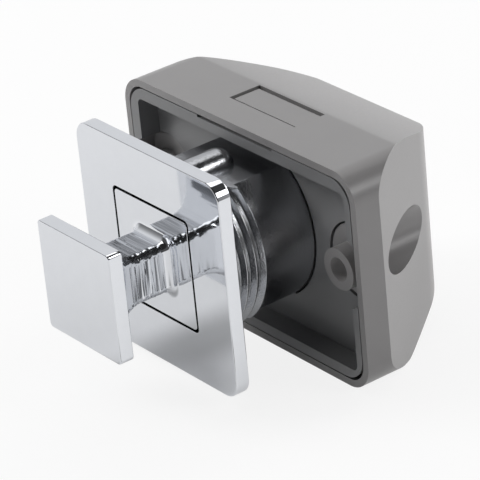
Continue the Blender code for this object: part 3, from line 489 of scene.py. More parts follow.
def chrome_material(name, base, roughness, waves, pit, depth):
    """Chrome plate on a zinc casting.

    It gives the eye a mirror image that bends over the polishing waves, slightly clouded where
    the plate is thin, and broken up into glints where the casting's pits show through.
    """
    made, tree, shader, place = blank(name)
    shader.inputs["Metallic"].default_value = 1.0
    links = {"Vector": place, "Scale": 1 / CHROME_CLOUD, "Detail": 4.0, "Roughness": 0.6}
    clouds = node(tree, "ShaderNodeTexNoise", links).outputs["Fac"]
    across = node(tree, "ShaderNodeMapping", {"Vector": place, "Scale": WAVE_STRETCH}).outputs[0]
    links = {"Vector": across, "Scale": 1 / CHROME_WAVE, "Detail": 2.0}
    polish = node(tree, "ShaderNodeTexNoise", links).outputs["Fac"]
    waved = node(tree, "ShaderNodeBump", {"Height": polish, "Distance": waves}).outputs[0]
    links = {"Vector": place, "Scale": 1 / pit, "Detail": 3.0, "Roughness": 0.6}
    casting = node(tree, "ShaderNodeTexNoise", links).outputs["Fac"]
    links = {"Height": casting, "Distance": depth, "Normal": waved}
    pitted = node(tree, "ShaderNodeBump", links).outputs[0]
    set_surface(tree, shader, base, roughness, CHROME_RANGES, clouds, clouds, pitted)
    return made


def plastic_material(name, base, roughness, grain, depth):
    """Injection-moulded plastic.

    It gives the eye an even grey with a soft sheen, a spark-eroded grain just coarse enough to
    take the gloss off, and faint clouds where the melt flowed.
    """
    made, tree, shader, place = blank(name)
    shader.inputs["IOR"].default_value = PLASTIC_IOR
    links = {"Vector": place, "Scale": 1 / FLOW_CLOUD, "Detail": 3.0, "Roughness": 0.6}
    clouds = node(tree, "ShaderNodeTexNoise", links).outputs["Fac"]
    links = {"Vector": place, "Scale": 1 / grain, "Detail": 2.0}
    fine = node(tree, "ShaderNodeTexNoise", links).outputs["Fac"]
    grained = node(tree, "ShaderNodeBump", {"Height": fine, "Distance": depth}).outputs[0]
    set_surface(tree, shader, base, roughness, PLASTIC_RANGES, clouds, fine, grained)
    return made


def metal_material(name, base, roughness, grain, depth, stretch):
    """Metal with the surface that casting, plating or drawing leaves.

    It gives the eye a broken grey shine, darker in the hollows of the skin, in lumps on a
    casting, in fine specks on plated steel and in lines along a drawn wire.
    """
    made, tree, shader, place = blank(name)
    shader.inputs["Metallic"].default_value = 1.0
    along = node(tree, "ShaderNodeMapping", {"Vector": place, "Scale": stretch}).outputs[0]
    links = {"Vector": along, "Scale": 1 / grain, "Detail": 4.0, "Roughness": 0.6}
    skin = node(tree, "ShaderNodeTexNoise", links).outputs["Fac"]
    rough = node(tree, "ShaderNodeBump", {"Height": skin, "Distance": depth}).outputs[0]
    set_surface(tree, shader, base, roughness, METAL_RANGES, skin, skin, rough)
    return made


EVEN = (1.0, 1.0, 1.0)
DRAWN = (1.0, 0.2, 1.0)

# Each finish: how it is made, its colour, how bright that is, its roughness, then the pattern in metres.
# The mould's grain, the plate's specks and the die's lines are finer than a pixel on the real
# latch, so they are drawn 0.2 to 0.4 mm wide, as coarse as they need to be to show.
FINISHES = {
    # Hand-polished plate: nearly a flat mirror, with waves 0.7 mm wide
    "polished_chrome_plate": (chrome_material, "chrome", 1.0, 0.05, 0.000002, 0.00028, 0.0000005),
    # Thin plate straight over the casting: duller and speckled with pits of 0.4 mm, with its colour darkened
    # to 0.60 as painted shade for the dark hollow the barrel sits in
    "as_cast_chrome_plate": (chrome_material, "chrome", 0.60, 0.19, 0.000006, 0.00042, 0.00004),
    # The case comes from a finely spark-eroded mould: silky grey
    "moulded_case_abs": (plastic_material, "cover", 1.0, 0.30, 0.0004, 0.000003),
    # The liner is a darker grey, from a like mould
    "moulded_liner_abs": (plastic_material, "liner", 1.0, 0.30, 0.0004, 0.000003),
    # Bare zinc as it leaves the die: dull, with lumps of 0.4 mm
    "die_cast_zinc": (metal_material, "zinc", 1.0, 0.42, 0.0004, 0.00001, EVEN),
    # Bright zinc plate on turned steel: fine specks
    "zinc_plated_steel": (metal_material, "steel", 1.0, 0.28, 0.0003, 0.000003, EVEN),
    # Spring wire drawn through a die: shiny, with lines along it
    "drawn_spring_steel": (metal_material, "steel", 1.0, 0.22, 0.0002, 0.000003, DRAWN),
    # Black acetal with a slippery satin skin
    "moulded_black_acetal": (plastic_material, "acetal", 1.0, 0.35, 0.0003, 0.000003),
}


def finish(name):
    """A finish by name, made on first use."""
    if name in bpy.data.materials:
        return bpy.data.materials[name]
    maker, tint, factor, *values = FINISHES[name]
    return maker(name, shade(getattr(bpy.context.scene.latch_finishes, tint), factor), *values)


# Chrome pieces

SLIDE_GAP = 0.0003
FIT_GAP = 0.0001
TOOTH_SETBACK = 0.0006
TOOTH_HALF = 0.0003
TOOTH_TURNS = (math.radians(12.0), math.radians(34.0))
CUT_CREST_FOOT = 0.0012
CUT_CREST_FLANK = 0.00025
STEM_HOLE_DEPTH = 0.0100

# Radius of a screw's shank as a share of its head's width
STEM_SHARE = 0.545 / 2
BARREL_SCREW_SHARE = 1 / 4
CARRIER_SCREW_SHARE = 1 / 6

# The neck's grinding: height and width of its waves and lumps, and how finer ones add to them
NECK_WAVE = 0.000035
NECK_WAVE_WIDTH = 0.0005
NECK_WAVE_STRETCH = 0.08
NECK_WAVE_FINE = 0.5
NECK_LUMP = 0.00012
NECK_LUMP_WIDTH = 0.0009
NECK_LUMP_FINE = 0.6
NECK_LUMP_REACH = 1.2
NECK_FINENESS = 2.3
NECK_FADE = 0.001


def round_edge(half, corner, y, inward, radius, outward=1):
    """Stations round a plate's edge, from its face to its side. inward points into the plate."""
    stations = []
    for turn in spread(0.0, RIGHT_ANGLE, EDGE_STEPS):
        inset = outward * radius * (1 - math.sin(turn))
        stations.append((half - inset, corner - inset, y + inward * radius * (1 - math.cos(turn))))
    return stations


def square_rings(stations, hold):
    return [along_y(rounded(half, half, corner, hold=hold), y) for half, corner, y in stations]


def even_circle(radius, y):
    """A ring with as many points as a held square outline, which has CORNER_STEPS + 3 at each corner."""
    return along_y(circle(radius, 4 * (CORNER_STEPS + 3)), y)


def build_rosette(size, barrel):
    front, back = ROSETTE_BOX[0].y, ROSETTE_BOX[1].y
    half = ROSETTE_BOX[1].x
    hold = size.rosette_edge
    outer = round_edge(half, size.rosette_corner, front, 1, size.rosette_edge)
    outer += list(reversed(round_edge(half, size.rosette_corner, back, -1, size.rosette_edge)))
    floor = front + size.rosette_lip
    mouth = round_edge(size.opening_half, size.opening_corner, front, 1, size.gap_edge, -1)
    rings = square_rings(outer, hold)
    rings += [even_circle(size.recess_radius, back), even_circle(size.recess_radius, floor)]
    rings += square_rings([(size.opening_half, size.opening_corner, floor), *reversed(mouth)], hold)
    plate = solid("rosette_plate", [rings], closed=True)
    carve(plate, "UNION", rosette_teeth(size.recess_radius, barrel.crest, back - TOOTH_SETBACK))
    return smoothed(plate)


def rosette_teeth(radius, height, middle):
    """Four teeth that turn in behind the barrel's front crest."""
    turns = spread(*TOOTH_TURNS, TOOTH_STEPS)
    outline = arc(radius + BEYOND, turns) + arc(radius - height, reversed(turns))
    teeth = []
    for sign in SIDES:
        tooth = [(u, sign * v) for u, v in outline]
        teeth.append(drawn(along_y, tooth, middle - TOOTH_HALF, middle + TOOTH_HALF))
    return mirrored(teeth)


def build_knob(size):
    front = KNOB_BOX[0].y
    base_back = KNOB_BOX[1].y
    half = KNOB_BOX[1].x
    rosette_front = ROSETTE_BOX[0].y
    plate_back = front + size.knob_plate
    bend = rosette_front - size.neck_straight
    flare = half - size.flare_margin - size.neck_half
    stations = [(half - 2 * size.knob_edge, size.knob_corner, front)]
    stations += round_edge(half, size.knob_corner, front, 1, size.knob_edge)
    stations += reversed(round_edge(half, size.knob_corner, plate_back, -1, size.knob_edge))
    for turn in spread(RIGHT_ANGLE, 0.0, FLARE_STEPS):
        wider = flare * (1 - math.cos(turn))
        y = bend - (bend - plate_back) * math.sin(turn)
        stations.append((size.neck_half + wider, size.neck_corner, y))
    bend_back = rosette_front - size.neck_fillet
    stations += [(size.neck_half, size.neck_corner, y) for y in spread(bend, bend_back, NECK_STEPS)[1:-1]]
    for turn in spread(0.0, RIGHT_ANGLE, FILLET_STEPS):
        wider = size.neck_fillet * (1 - math.cos(turn))
        y = rosette_front - size.neck_fillet * (1 - math.sin(turn))
        stations.append((size.neck_half + wider, size.neck_corner + wider, y))
    base = half - size.base_play
    stations.append((base - 2 * size.gap_edge, size.knob_corner, rosette_front))
    stations += round_edge(base, size.knob_corner, rosette_front, 1, size.gap_edge)
    stations.append((base, size.knob_corner, base_back))
    rings = square_rings(stations, size.knob_edge)
    knob = solid("knob_casting", [rings])
    grind_neck(knob, size, plate_back, rosette_front)
    bore = length_along(STEM_BOX, X) * STEM_SHARE + FIT_GAP
    carve(knob, "DIFFERENCE", [drilled(bore, base_back - STEM_HOLE_DEPTH, base_back + BEYOND)])
    return smoothed(knob)


def layered_noise(spot, finer):
    """Noise at a spot, with a share of finer noise on it."""
    return noise.noise(spot) + finer * noise.noise(NECK_FINENESS * spot)


def grind_neck(knob, size, front, back):
    """The waves that hand grinding leaves across the neck, and the lumps along its corners."""
    for point in knob.data.vertices:
        x, y, z = point.co
        if not front + size.knob_edge < y < back - size.gap_edge:
            continue
        fade = min(1.0, (y - front) / NECK_FADE, (back - y) / NECK_FADE)
        across = Vector((NECK_WAVE_STRETCH * x, y, NECK_WAVE_STRETCH * z)) / NECK_WAVE_WIDTH
        push = NECK_WAVE * layered_noise(across, NECK_WAVE_FINE)
        if min(abs(x), abs(z)) > size.neck_half - NECK_LUMP_REACH * size.neck_corner:
            spot = Vector((x, y, z)) / NECK_LUMP_WIDTH
            push += NECK_LUMP * layered_noise(spot, NECK_LUMP_FINE)
        outward = Vector((x, 0.0, z))
        if abs(abs(x) - abs(z)) > 2 * size.neck_corner:
            outward = Vector((x, 0.0, 0.0)) if abs(x) > abs(z) else Vector((0.0, 0.0, z))
        point.co += fade * push * outward.normalized()


def crests_tree():
    """A Geometry Nodes tree that repeats a crest along Y."""
    inputs = {"Crest": "Object", "Count": "Int", "Pitch": "Float", "Finish": "Material"}
    tree, given, result = growth_tree("repeated_crests", inputs)
    step = node(tree, "ShaderNodeCombineXYZ", {"Y": given["Pitch"]})
    places = node(tree, "GeometryNodeMeshLine", {"Count": given["Count"], "Offset": step.outputs[0]})
    shape = node(tree, "GeometryNodeObjectInfo", {"Object": given["Crest"]})
    links = {"Points": places.outputs[0], "Instance": shape.outputs["Geometry"]}
    copies = node(tree, "GeometryNodeInstanceOnPoints", links)
    finish_growth(tree, copies.outputs[0], given, result)
    return tree


def crest_rings(size, first_end):
    """The ring crests behind the cut front one."""
    start, end = first_end - size.crest_foot, first_end
    top = size.radius + size.crest
    root = size.radius - size.crest
    profile = [
        (root, start),
        (size.radius, start),
        (top, end - size.crest_land),
        (top, end),
        (root, end),
    ]
    crest = solid("crest", [turned(profile, steps=BARREL_STEPS)], closed=True)
    values = {
        "Crest": crest,
        "Count": size.count - 1,
        "Pitch": size.pitch,
        "Finish": finish("as_cast_chrome_plate"),
    }
    rings = grown("crest_rings", crests_tree(), values)
    discard(crest)
    return rings


def build_barrel(size, chrome):
    front, back = BARREL_BOX[0].y, BARREL_BOX[1].y
    top = size.radius + size.crest
    cut_end = ROSETTE_BOX[1].y - TOOTH_SETBACK - (size.pitch - CUT_CREST_FOOT) / 2
    profile = [(top, front), (top, cut_end - CUT_CREST_FLANK), (size.radius, cut_end), (size.radius, back)]
    barrel = solid("barrel_casting", [turned(profile, steps=BARREL_STEPS)])
    carve(barrel, "UNION", crest_rings(size, cut_end + size.pitch))
    reach = top + BEYOND
    low = (-reach, front - BEYOND, -size.flat_half)
    high = (reach, back + BEYOND, size.flat_half)
    carve(barrel, "INTERSECT", [block(low, high)])
    for sign in SIDES:
        profile = [(size.rib_radius, front + BEYOND)]
        centre = -size.rib_end - size.rib_radius
        for turn in spread(0.0, RIGHT_ANGLE, CORNER_STEPS)[:-1]:
            profile.append((size.rib_radius * math.cos(turn), centre + size.rib_radius * math.sin(turn)))
        core = size.flat_half - size.rib_radius / 2
        rings = turned(profile, (0.0, size.flat_half), RIB_STEPS)
        carve(barrel, "UNION", [[[(x, y, sign * max(z, core)) for x, y, z in ring] for ring in rings]])
    channel = rounded(chrome.opening_half, chrome.opening_half, size.channel_corner)
    carve(barrel, "DIFFERENCE", [drawn(along_y, channel, front - BEYOND, back + BEYOND)])
    hole = length_along(BARREL_SCREW_BOX, X) * BARREL_SCREW_SHARE + FIT_GAP
    place = (centre_along(BARREL_SCREW_BOX, X), 0.0)
    deep = BARREL_SCREW_BOX[0].y - SLIDE_GAP
    carve(barrel, "DIFFERENCE", mirrored([drilled(hole, deep, back + BEYOND, place)]))
    soften(barrel, BARREL_ROUND, BARREL_EDGE)
    return smoothed(barrel)


# The case

ROOF_BOW_POWER = 1.19
COVER_MIDDLE_Z = centre_along(COVER_BOX, Z)
COVER_HALF_Z = length_along(COVER_BOX, Z) / 2
BEHIND_COVER = COVER_BOX[1].y + BEYOND

# Screw tunnels and their posts
TUNNEL_FRONT = 0.0043
TUNNEL_RADIUS = 0.00675
TUNNEL_SHOULDER = 0.0015
POST_RADIUS = 0.0038
POST_HOLE = 0.00215

# What guides and stops the bolt
RAIL_FRONT = 0.0082
RAIL_THICKNESS = 0.00135
LEDGE_FRONT = 0.0094
LEDGE_THICKNESS = 0.0015
LEDGE_INSET = 0.0027
YOKE_TOP = 0.0080
TONGUE_FRONT = 0.0065

# The shelf of the catch wire and its leaf
SHELF_HALF = 0.0040
SHELF_HEIGHT = 0.0048
SHELF_MARGIN = 0.00195
SHELF_SCREW = 0.0009
WIRE_RADIUS = 0.0006
LEAF_SCREW_Y = centre_along(LEAF_SCREW_BOX, Y)
WIRE_Y = WIRE_BOX[1].y - WIRE_RADIUS
SHELF_TOP = LEAF_BOX[0].z - FIT_GAP

# The liner and its snaps
SNAP_X = (0.0150, 0.0210)
SNAP_Y = (0.0022, 0.0033)
SNAP_HEIGHT = 0.0004
LINER_GAP = 0.0001
LINER_POST = 0.0022
LINER_BACK = 0.0052
LINER_FLOOR = 0.0040
LINER_ARC_STEPS = 48
SEAM = 0.0001
LINER_CORNER_MORE = 0.0007
LINER_WALL_LEFT = 0.0023
LINER_WALL_RIGHT = 0.00145
LINER_WALL_TOP = 0.0022
LINER_WALL_LOW = 0.0019
LINER_POCKET_CORNER = 0.0012
RELIEF_HALF = 0.0103
RELIEF_DEPTH = 0.0004
PLAN_REACH = 0.04


def corner_arc(before, corner, after, radius, steps):
    """The points that round the corner between two straight runs."""
    middle = Vector(corner)
    to_before = (Vector(before) - middle).normalized()
    to_after = (Vector(after) - middle).normalized()
    half = to_before.angle(to_after) / 2
    centre = middle + (to_before + to_after).normalized() * (radius / math.sin(half))
    first = middle + to_before * (radius / math.tan(half)) - centre
    last = middle + to_after * (radius / math.tan(half)) - centre
    turn = math.pi - 2 * half
    points = []
    for part in spread(0.0, turn, steps):
        spoke = (first * math.sin(turn - part) + last * math.sin(part)) / math.sin(turn)
        points.append(tuple(centre + spoke))
    return points


def case_plan(size, inset):
    """The case seen from above: straight sides, slanted facets and a back with round ends."""
    half, depth = COVER_BOX[1].x, COVER_BOX[1].y
    slope = size.facet_inset / (depth - size.facet_start)
    lean = math.hypot(1.0, slope)
    turn = (half - inset, size.facet_start - inset * (lean - 1) / slope)
    back = depth - inset
    end = (half - slope * (back - size.facet_start) - inset * lean, back)
    rounding = corner_arc(turn, end, (0.0, back), size.facet_round - inset, PLAN_STEPS)
    right = [(turn[0], -2 * BEYOND), turn, *rounding]
    return right + [(-x, y) for x, y in reversed(right)]


def roof_fall(size, y, back, radius):
    """How far the roof and the floor have drawn in at a depth."""
    fall = 0.0
    if y > size.roof_start:
        fall += size.roof_drop * ((y - size.roof_start) / (back - size.roof_start)) ** ROOF_BOW_POWER
    bend = y - (back - radius)
    if bend > 0:
        fall += radius - math.sqrt(max(radius**2 - bend**2, 0.0))
    return fall


def case_form(name, size, inset, front):
    """The case's outer form, or with an inset the form of its hollow."""
    half_u = COVER_BOX[1].x - inset
    tall = COVER_HALF_Z - inset
    back = COVER_BOX[1].y - inset
    radius = size.back_round - inset
    roof = back - size.roof_start
    rings = []
    for y in [front] + [size.roof_start + roof * math.sin(t) for t in spread(0.0, RIGHT_ANGLE, ROOF_STEPS)]:
        half_v = tall - roof_fall(size, y, back, radius)
        outline = rounded(half_u, half_v, size.corner - inset, centre=(0.0, COVER_MIDDLE_Z))
        rings.append(along_y(outline, y))
    form = solid(name, [rings])
    reach = 2 * tall
    return carve(form, "INTERSECT", [drawn(along_z, case_plan(size, inset), -reach, reach)])


def case_hollow(size):
    """The case's hollow, round what stands in it: tunnels, their posts, rails, ledges and the shelf."""
    hollow = case_form("case_hollow", size, size.wall, -BEYOND)
    place = (size.tunnel_x, 0.0)
    tunnel = drilled(TUNNEL_RADIUS, TUNNEL_FRONT, BEHIND_COVER, place)
    post = drilled(POST_RADIUS, 0.0, TUNNEL_FRONT + BEYOND, place)
    reach = 2 * COVER_HALF_Z
    rail_inner = BOLT_BOX[1].x + SLIDE_GAP
    high = (rail_inner + RAIL_THICKNESS, BOLT_BOX[1].y + SLIDE_GAP + RAIL_THICKNESS, reach)
    rail = block((rail_inner, RAIL_FRONT, -reach), high)
    low = (PIN_BOX[0].x + LEDGE_INSET, LEDGE_FRONT, -reach)
    ledge = block(low, (rail_inner + BEYOND, LEDGE_FRONT + LEDGE_THICKNESS, YOKE_TOP))
    for standing in (tunnel, post, rail, ledge):
        carve(hollow, "DIFFERENCE", mirrored([standing]))
    low = (-SHELF_HALF, WIRE_Y - SHELF_MARGIN, SHELF_TOP - SHELF_HEIGHT)
    return carve(hollow, "DIFFERENCE", [block(low, (SHELF_HALF, BEHIND_COVER, SHELF_TOP))])


def build_cover(size):
    case = case_form("case_shell", size, 0.0, 0.0)
    soften(case, CASE_LONG_ROUND, CASE_LONG_EDGE)
    carve(case, "DIFFERENCE", case_hollow(size))
    shoulder = TUNNEL_FRONT + TUNNEL_SHOULDER
    steps = [(POST_HOLE, -BEYOND), (POST_HOLE, shoulder)]
    steps += [(size.tunnel_bore, shoulder), (size.tunnel_bore, BEHIND_COVER)]
    for sign in SIDES:
        carve(case, "DIFFERENCE", [turned(steps, (sign * size.tunnel_x, 0.0))])
    half = BOLT_BOX[1].x + SLIDE_GAP
    low = (-half, TONGUE_FRONT - SLIDE_GAP, COVER_BOX[1].z - 2 * size.wall)
    high = (half, BOLT_BOX[1].y + SLIDE_GAP, COVER_BOX[1].z + BEYOND)
    carve(case, "DIFFERENCE", [block(low, high)])
    carve(case, "DIFFERENCE", snaps(size.wall, SLIDE_GAP))
    for radius, y in ((WIRE_RADIUS + SLIDE_GAP, WIRE_Y), (SHELF_SCREW, LEAF_SCREW_Y)):
        hole = circle(radius, BORE_STEPS, (0.0, y))
        carve(case, "DIFFERENCE", [drawn(along_z, hole, WIRE_BOX[0].z, SHELF_TOP + BEYOND)])
    soften(case, size.edge, SHARP_EDGE, MOULDED_STEPS)
    return smoothed(case, MOULDED_SHARP)


def snaps(wall, gap):
    """The liner's four snap bumps, or with a gap the recesses that they catch in."""
    liner_half = COVER_HALF_Z - wall - LINER_GAP
    bumps = []
    for sign in SIDES:
        reach = sorted(COVER_MIDDLE_Z + sign * (liner_half + out) for out in (-BEYOND, SNAP_HEIGHT + gap))
        low = (SNAP_X[0] - gap, SNAP_Y[0] - gap, reach[0])
        bumps.append(block(low, (SNAP_X[1] + gap, SNAP_Y[1] + gap, reach[1])))
    return mirrored(bumps)


def liner_tray(size):
    """The tray with its pocket, the relief at its top and its snap bumps."""
    half_u = LINER_BOX[1].x - SEAM
    half_v = COVER_HALF_Z - size.wall - LINER_GAP - SEAM
    corner = size.corner - size.wall + LINER_CORNER_MORE
    outline = rounded(half_u, half_v, corner, centre=(0.0, COVER_MIDDLE_Z))
    tray = solid("liner_tray", [drawn(along_y, outline, 0.0, LINER_BACK)])
    plan = case_plan(size, size.wall + LINER_GAP + SEAM)
    carve(tray, "INTERSECT", [drawn(along_z, plan, -PLAN_REACH, PLAN_REACH)])
    pocket_u = half_u - (LINER_WALL_LEFT + LINER_WALL_RIGHT) / 2
    pocket_v = half_v - (LINER_WALL_LOW + LINER_WALL_TOP) / 2
    shift = (LINER_WALL_LEFT - LINER_WALL_RIGHT) / 2
    centre = (shift, COVER_MIDDLE_Z + (LINER_WALL_LOW - LINER_WALL_TOP) / 2)
    pocket = rounded(pocket_u, pocket_v, LINER_POCKET_CORNER, centre=centre)
    carve(tray, "DIFFERENCE", [drawn(along_y, pocket, -BEYOND, LINER_FLOOR)])
    top = half_v + COVER_MIDDLE_Z
    low = (-RELIEF_HALF, -BEYOND, top - RELIEF_DEPTH)
    carve(tray, "DIFFERENCE", [block(low, (RELIEF_HALF, LINER_BACK + BEYOND, top + BEYOND))])
    return carve(tray, "UNION", snaps(size.wall, 0.0))


def build_liner(size, barrel):
    tray = liner_tray(size)
    post_end = CARRIER_BOX[1].y - SLIDE_GAP
    core = length_along(CARRIER_SCREW_BOX, X) * CARRIER_SCREW_SHARE + FIT_GAP
    for sign in SIDES:
        place = (centre_along(CARRIER_SCREW_BOX, X), sign * centre_along(CARRIER_SCREW_BOX, Z))
        post = drilled(LINER_POST, (LINER_FLOOR + LINER_BACK) / 2, post_end, place)
        carve(tray, "UNION", mirrored([post]))
        hole = drilled(core, LINER_BACK - SLIDE_GAP, post_end + BEYOND, place)
        carve(tray, "DIFFERENCE", mirrored([hole]))
    radius = barrel.radius + SLIDE_GAP
    reach = math.asin((barrel.flat_half + SLIDE_GAP) / radius)
    right = arc(radius, spread(-reach, reach, LINER_ARC_STEPS))
    hole = right + [(-u, -v) for u, v in right]
    carve(tray, "DIFFERENCE", [drawn(along_y, hole, -BEYOND, LINER_BACK + BEYOND)])
    clear = drilled(TUNNEL_RADIUS + SLIDE_GAP, -BEYOND, LINER_BACK + BEYOND, (size.tunnel_x, 0.0))
    carve(tray, "DIFFERENCE", mirrored([clear]))
    soften(tray, LINER_ROUND, SHARP_EDGE, MOULDED_STEPS)
    return smoothed(tray, MOULDED_SHARP)


# Pieces that move inside

SPRING_TURNS = 5.0
SPRING_WIRE = 0.00035

# Where the spring's closed ends stop: share of its turns, share of its length
SPRING_ENDS = ((0.14, 0.03), (0.86, 0.97))
YOKE_INNER = 0.0063
YOKE_BOTTOM_BAR = 0.0021
YOKE_THICKNESS = 0.0034
YOKE_SHOULDER = 0.0088
TONGUE_PLAY = 0.0004


def build_bolt():
    """The bolt: a tongue with soft edges, and the yoke that hangs from it round the plunger."""
    half, low, top = BOLT_BOX[1].x, BOLT_BOX[0].z, BOLT_BOX[1].z
    front, back = BOLT_BOX[0].y, BOLT_BOX[1].y - TONGUE_PLAY
    yoke_back = front + YOKE_THICKNESS
    tongue_front = TONGUE_FRONT + TONGUE_PLAY / 2
    side = [
        (front, low),
        (yoke_back, low),
        (yoke_back, YOKE_SHOULDER),
        (back, YOKE_SHOULDER),
        (back, top),
        (tongue_front, top),
        (tongue_front, YOKE_SHOULDER),
        (front, YOKE_SHOULDER),
    ]
    bolt = solid("bolt_moulding", [drawn(along_x, side, -half, half)])
    opening_low = (-YOKE_INNER, front - BEYOND, low + YOKE_BOTTOM_BAR)
    carve(bolt, "DIFFERENCE", [block(opening_low, (YOKE_INNER, yoke_back + BEYOND, YOKE_TOP))])
    pin = (centre_along(PIN_BOX, Y), centre_along(PIN_BOX, Z))
    hole = circle(length_along(PIN_BOX, Y) / 2 + FIT_GAP, BORE_STEPS, pin)
    carve(bolt, "DIFFERENCE", [drawn(along_x, hole, -half - BEYOND, half + BEYOND)])
    side_low = (-half - BEYOND, front - BEYOND, YOKE_SHOULDER)
    carve(bolt, "DIFFERENCE", [block(side_low, (TONGUE_PLAY - half, back + BEYOND, top + BEYOND))])
    soften(bolt, TONGUE_ROUND, SHARP_EDGE, MOULDED_STEPS)
    return smoothed(bolt)


def spring_tree():
    """A Geometry Nodes tree that sweeps a wire along a spiral on Y, which closes at both ends."""
    inputs = {"Turns": "Float", "Radius": "Float", "Wire": "Float", "Length": "Float", "Finish": "Material"}
    tree, given, result = growth_tree("closed_end_spring", inputs)
    links = {
        "Resolution": SPRING_STEPS,
        "Rotations": given["Turns"],
        "Start Radius": given["Radius"],
        "End Radius": given["Radius"],
        "Height": 1.0,
    }
    line = node(tree, "GeometryNodeCurveSpiral", links)
    along = node(tree, "GeometryNodeSplineParameter").outputs["Factor"]
    eased = node(tree, "ShaderNodeFloatCurve", {"Value": along})
    points = eased.mapping.curves[0].points
    for share, height in SPRING_ENDS:
        points.new(share, height)
    for point in points:
        point.handle_type = "VECTOR"
    eased.mapping.update()
    here = node(tree, "GeometryNodeInputPosition").outputs[0]
    parts = node(tree, "ShaderNodeSeparateXYZ", {0: here})
    depth = node(tree, "ShaderNodeMath", {0: eased.outputs[0], 1: given["Length"]}, operation="MULTIPLY")
    links = {"X": parts.outputs["X"], "Y": depth.outputs[0], "Z": parts.outputs["Y"]}
    place = node(tree, "ShaderNodeCombineXYZ", links)
    laid = node(tree, "GeometryNodeSetPosition", {"Geometry": line.outputs[0], "Position": place.outputs[0]})
    links = {"Resolution": WIRE_STEPS, "Radius": given["Wire"]}
    section = node(tree, "GeometryNodeCurvePrimitiveCircle", links)
    links = {"Curve": laid.outputs[0], "Profile Curve": section.outputs[0], "Fill Caps": True}
    swept = node(tree, "GeometryNodeCurveToMesh", links)
    finish_growth(tree, swept.outputs[0], given, result)
    return tree


def build_spring():
    """The return spring, in the space that its CAD node fills."""
    start, end = SPRING_BOX[0].y + SPRING_WIRE, SPRING_BOX[1].y - SPRING_WIRE
    values = {
        "Turns": SPRING_TURNS,
        "Radius": SPRING_BOX[1].x - SPRING_WIRE,
        "Wire": SPRING_WIRE,
        "Length": end - start,
        "Finish": finish("drawn_spring_steel"),
    }
    spring = grown("spring_wire", spring_tree(), values)
    spring.data.transform(Matrix.Translation((0.0, start, 0.0)))
    return smoothed(spring)


# The finish of each CAD piece that stays
NODE_FINISHES = {
    "die_cast_zinc": ("carrier",),
    "moulded_black_acetal": ("plunger",),
    "drawn_spring_steel": ("catch_wire", "catch_leaf", "lock_washer"),
    "zinc_plated_steel": (
        "stem_screw",
        "cam_pin_left",
        "cam_pin_right",
        "catch_leaf_screw",
        "barrel_screw_1",
        "barrel_screw_2",
        "carrier_screw_1",
        "carrier_screw_2",
        "carrier_screw_3",
        "carrier_screw_4",
    ),
}


# Operators


class LatchOperator:
    """What the latch's operators have in common."""

    bl_options = {"REGISTER", "UNDO"}


class LATCH_OT_rosette(LatchOperator, bpy.types.Operator):
    """Builds the chrome rosette on the door's front."""

    bl_idname = "latch.rosette"
    bl_label = "Rosette"

    def execute(self, context):
        scene = context.scene
        made = build_rosette(scene.latch_chrome, scene.latch_barrel)
        dress(made, finish("polished_chrome_plate"), "case", "chrome", "rosette")
        return {"FINISHED"}


class LATCH_OT_knob(LatchOperator, bpy.types.Operator):
    """Builds the chrome knob with its flared, hand-ground neck."""

    bl_idname = "latch.knob"
    bl_label = "Knob"

    def execute(self, context):
        made = build_knob(context.scene.latch_chrome)
        dress(made, finish("polished_chrome_plate"), "knob", "chrome", "knob")
        return {"FINISHED"}


class LATCH_OT_barrel(LatchOperator, bpy.types.Operator):
    """Builds the chrome barrel with its ring crests, flats and ribs."""

    bl_idname = "latch.barrel"
    bl_label = "Barrel"

    def execute(self, context):
        scene = context.scene
        made = build_barrel(scene.latch_barrel, scene.latch_chrome)
        dress(made, finish("as_cast_chrome_plate"), "case", "chrome", "barrel")
        return {"FINISHED"}


class LATCH_OT_case(LatchOperator, bpy.types.Operator):
    """Builds the grey plastic case behind the door."""

    bl_idname = "latch.case"
    bl_label = "Case"

    def execute(self, context):
        made = build_cover(context.scene.latch_case)
        dress(made, finish("moulded_case_abs"), "case", "cover_grey", "rear_cover")
        return {"FINISHED"}


class LATCH_OT_liner(LatchOperator, bpy.types.Operator):
    """Builds the darker tray in the mouth of the case."""

    bl_idname = "latch.liner"
    bl_label = "Liner"

    def execute(self, context):
        scene = context.scene
        made = build_liner(scene.latch_case, scene.latch_barrel)
        dress(made, finish("moulded_liner_abs"), "case", "liner_grey", "liner")
        return {"FINISHED"}


class LATCH_OT_bolt(LatchOperator, bpy.types.Operator):
    """Builds the bolt with its tongue and yoke."""

    bl_idname = "latch.bolt"
    bl_label = "Bolt"

    def execute(self, context):
        dress(build_bolt(), finish("moulded_case_abs"), "bolt", "cover_grey", "bolt")
        return {"FINISHED"}


class LATCH_OT_spring(LatchOperator, bpy.types.Operator):
    """Builds the return spring, on a mesh of its own."""

    bl_idname = "latch.spring"
    bl_label = "Return spring"

    def execute(self, context):
        spring = dress(build_spring(), finish("drawn_spring_steel"), "case", "steel", "knob_spring")
        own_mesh(spring)
        return {"FINISHED"}


class LATCH_OT_inner_parts(LatchOperator, bpy.types.Operator):
    """Finishes the CAD pieces inside the latch."""

    bl_idname = "latch.inner_parts"
    bl_label = "Inner parts"

    def execute(self, context):
        for name, nodes in NODE_FINISHES.items():
            for member in nodes:
                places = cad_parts[member].material_slots
                if not places:
                    raise RuntimeError(member + " has no place for its finish")
                for place in places:
                    place.material = finish(name)
        return {"FINISHED"}


# Stage

# The view: its angles, and the rosette's middle as the camera sees it, right, up and away
CAMERA_AZIMUTH = math.radians(54.67)
CAMERA_ELEVATION = math.radians(26.979)
CAMERA_ROLL = math.radians(-5.701)
CAMERA_SHIFT = (-0.014250, -0.003198, 0.569710)


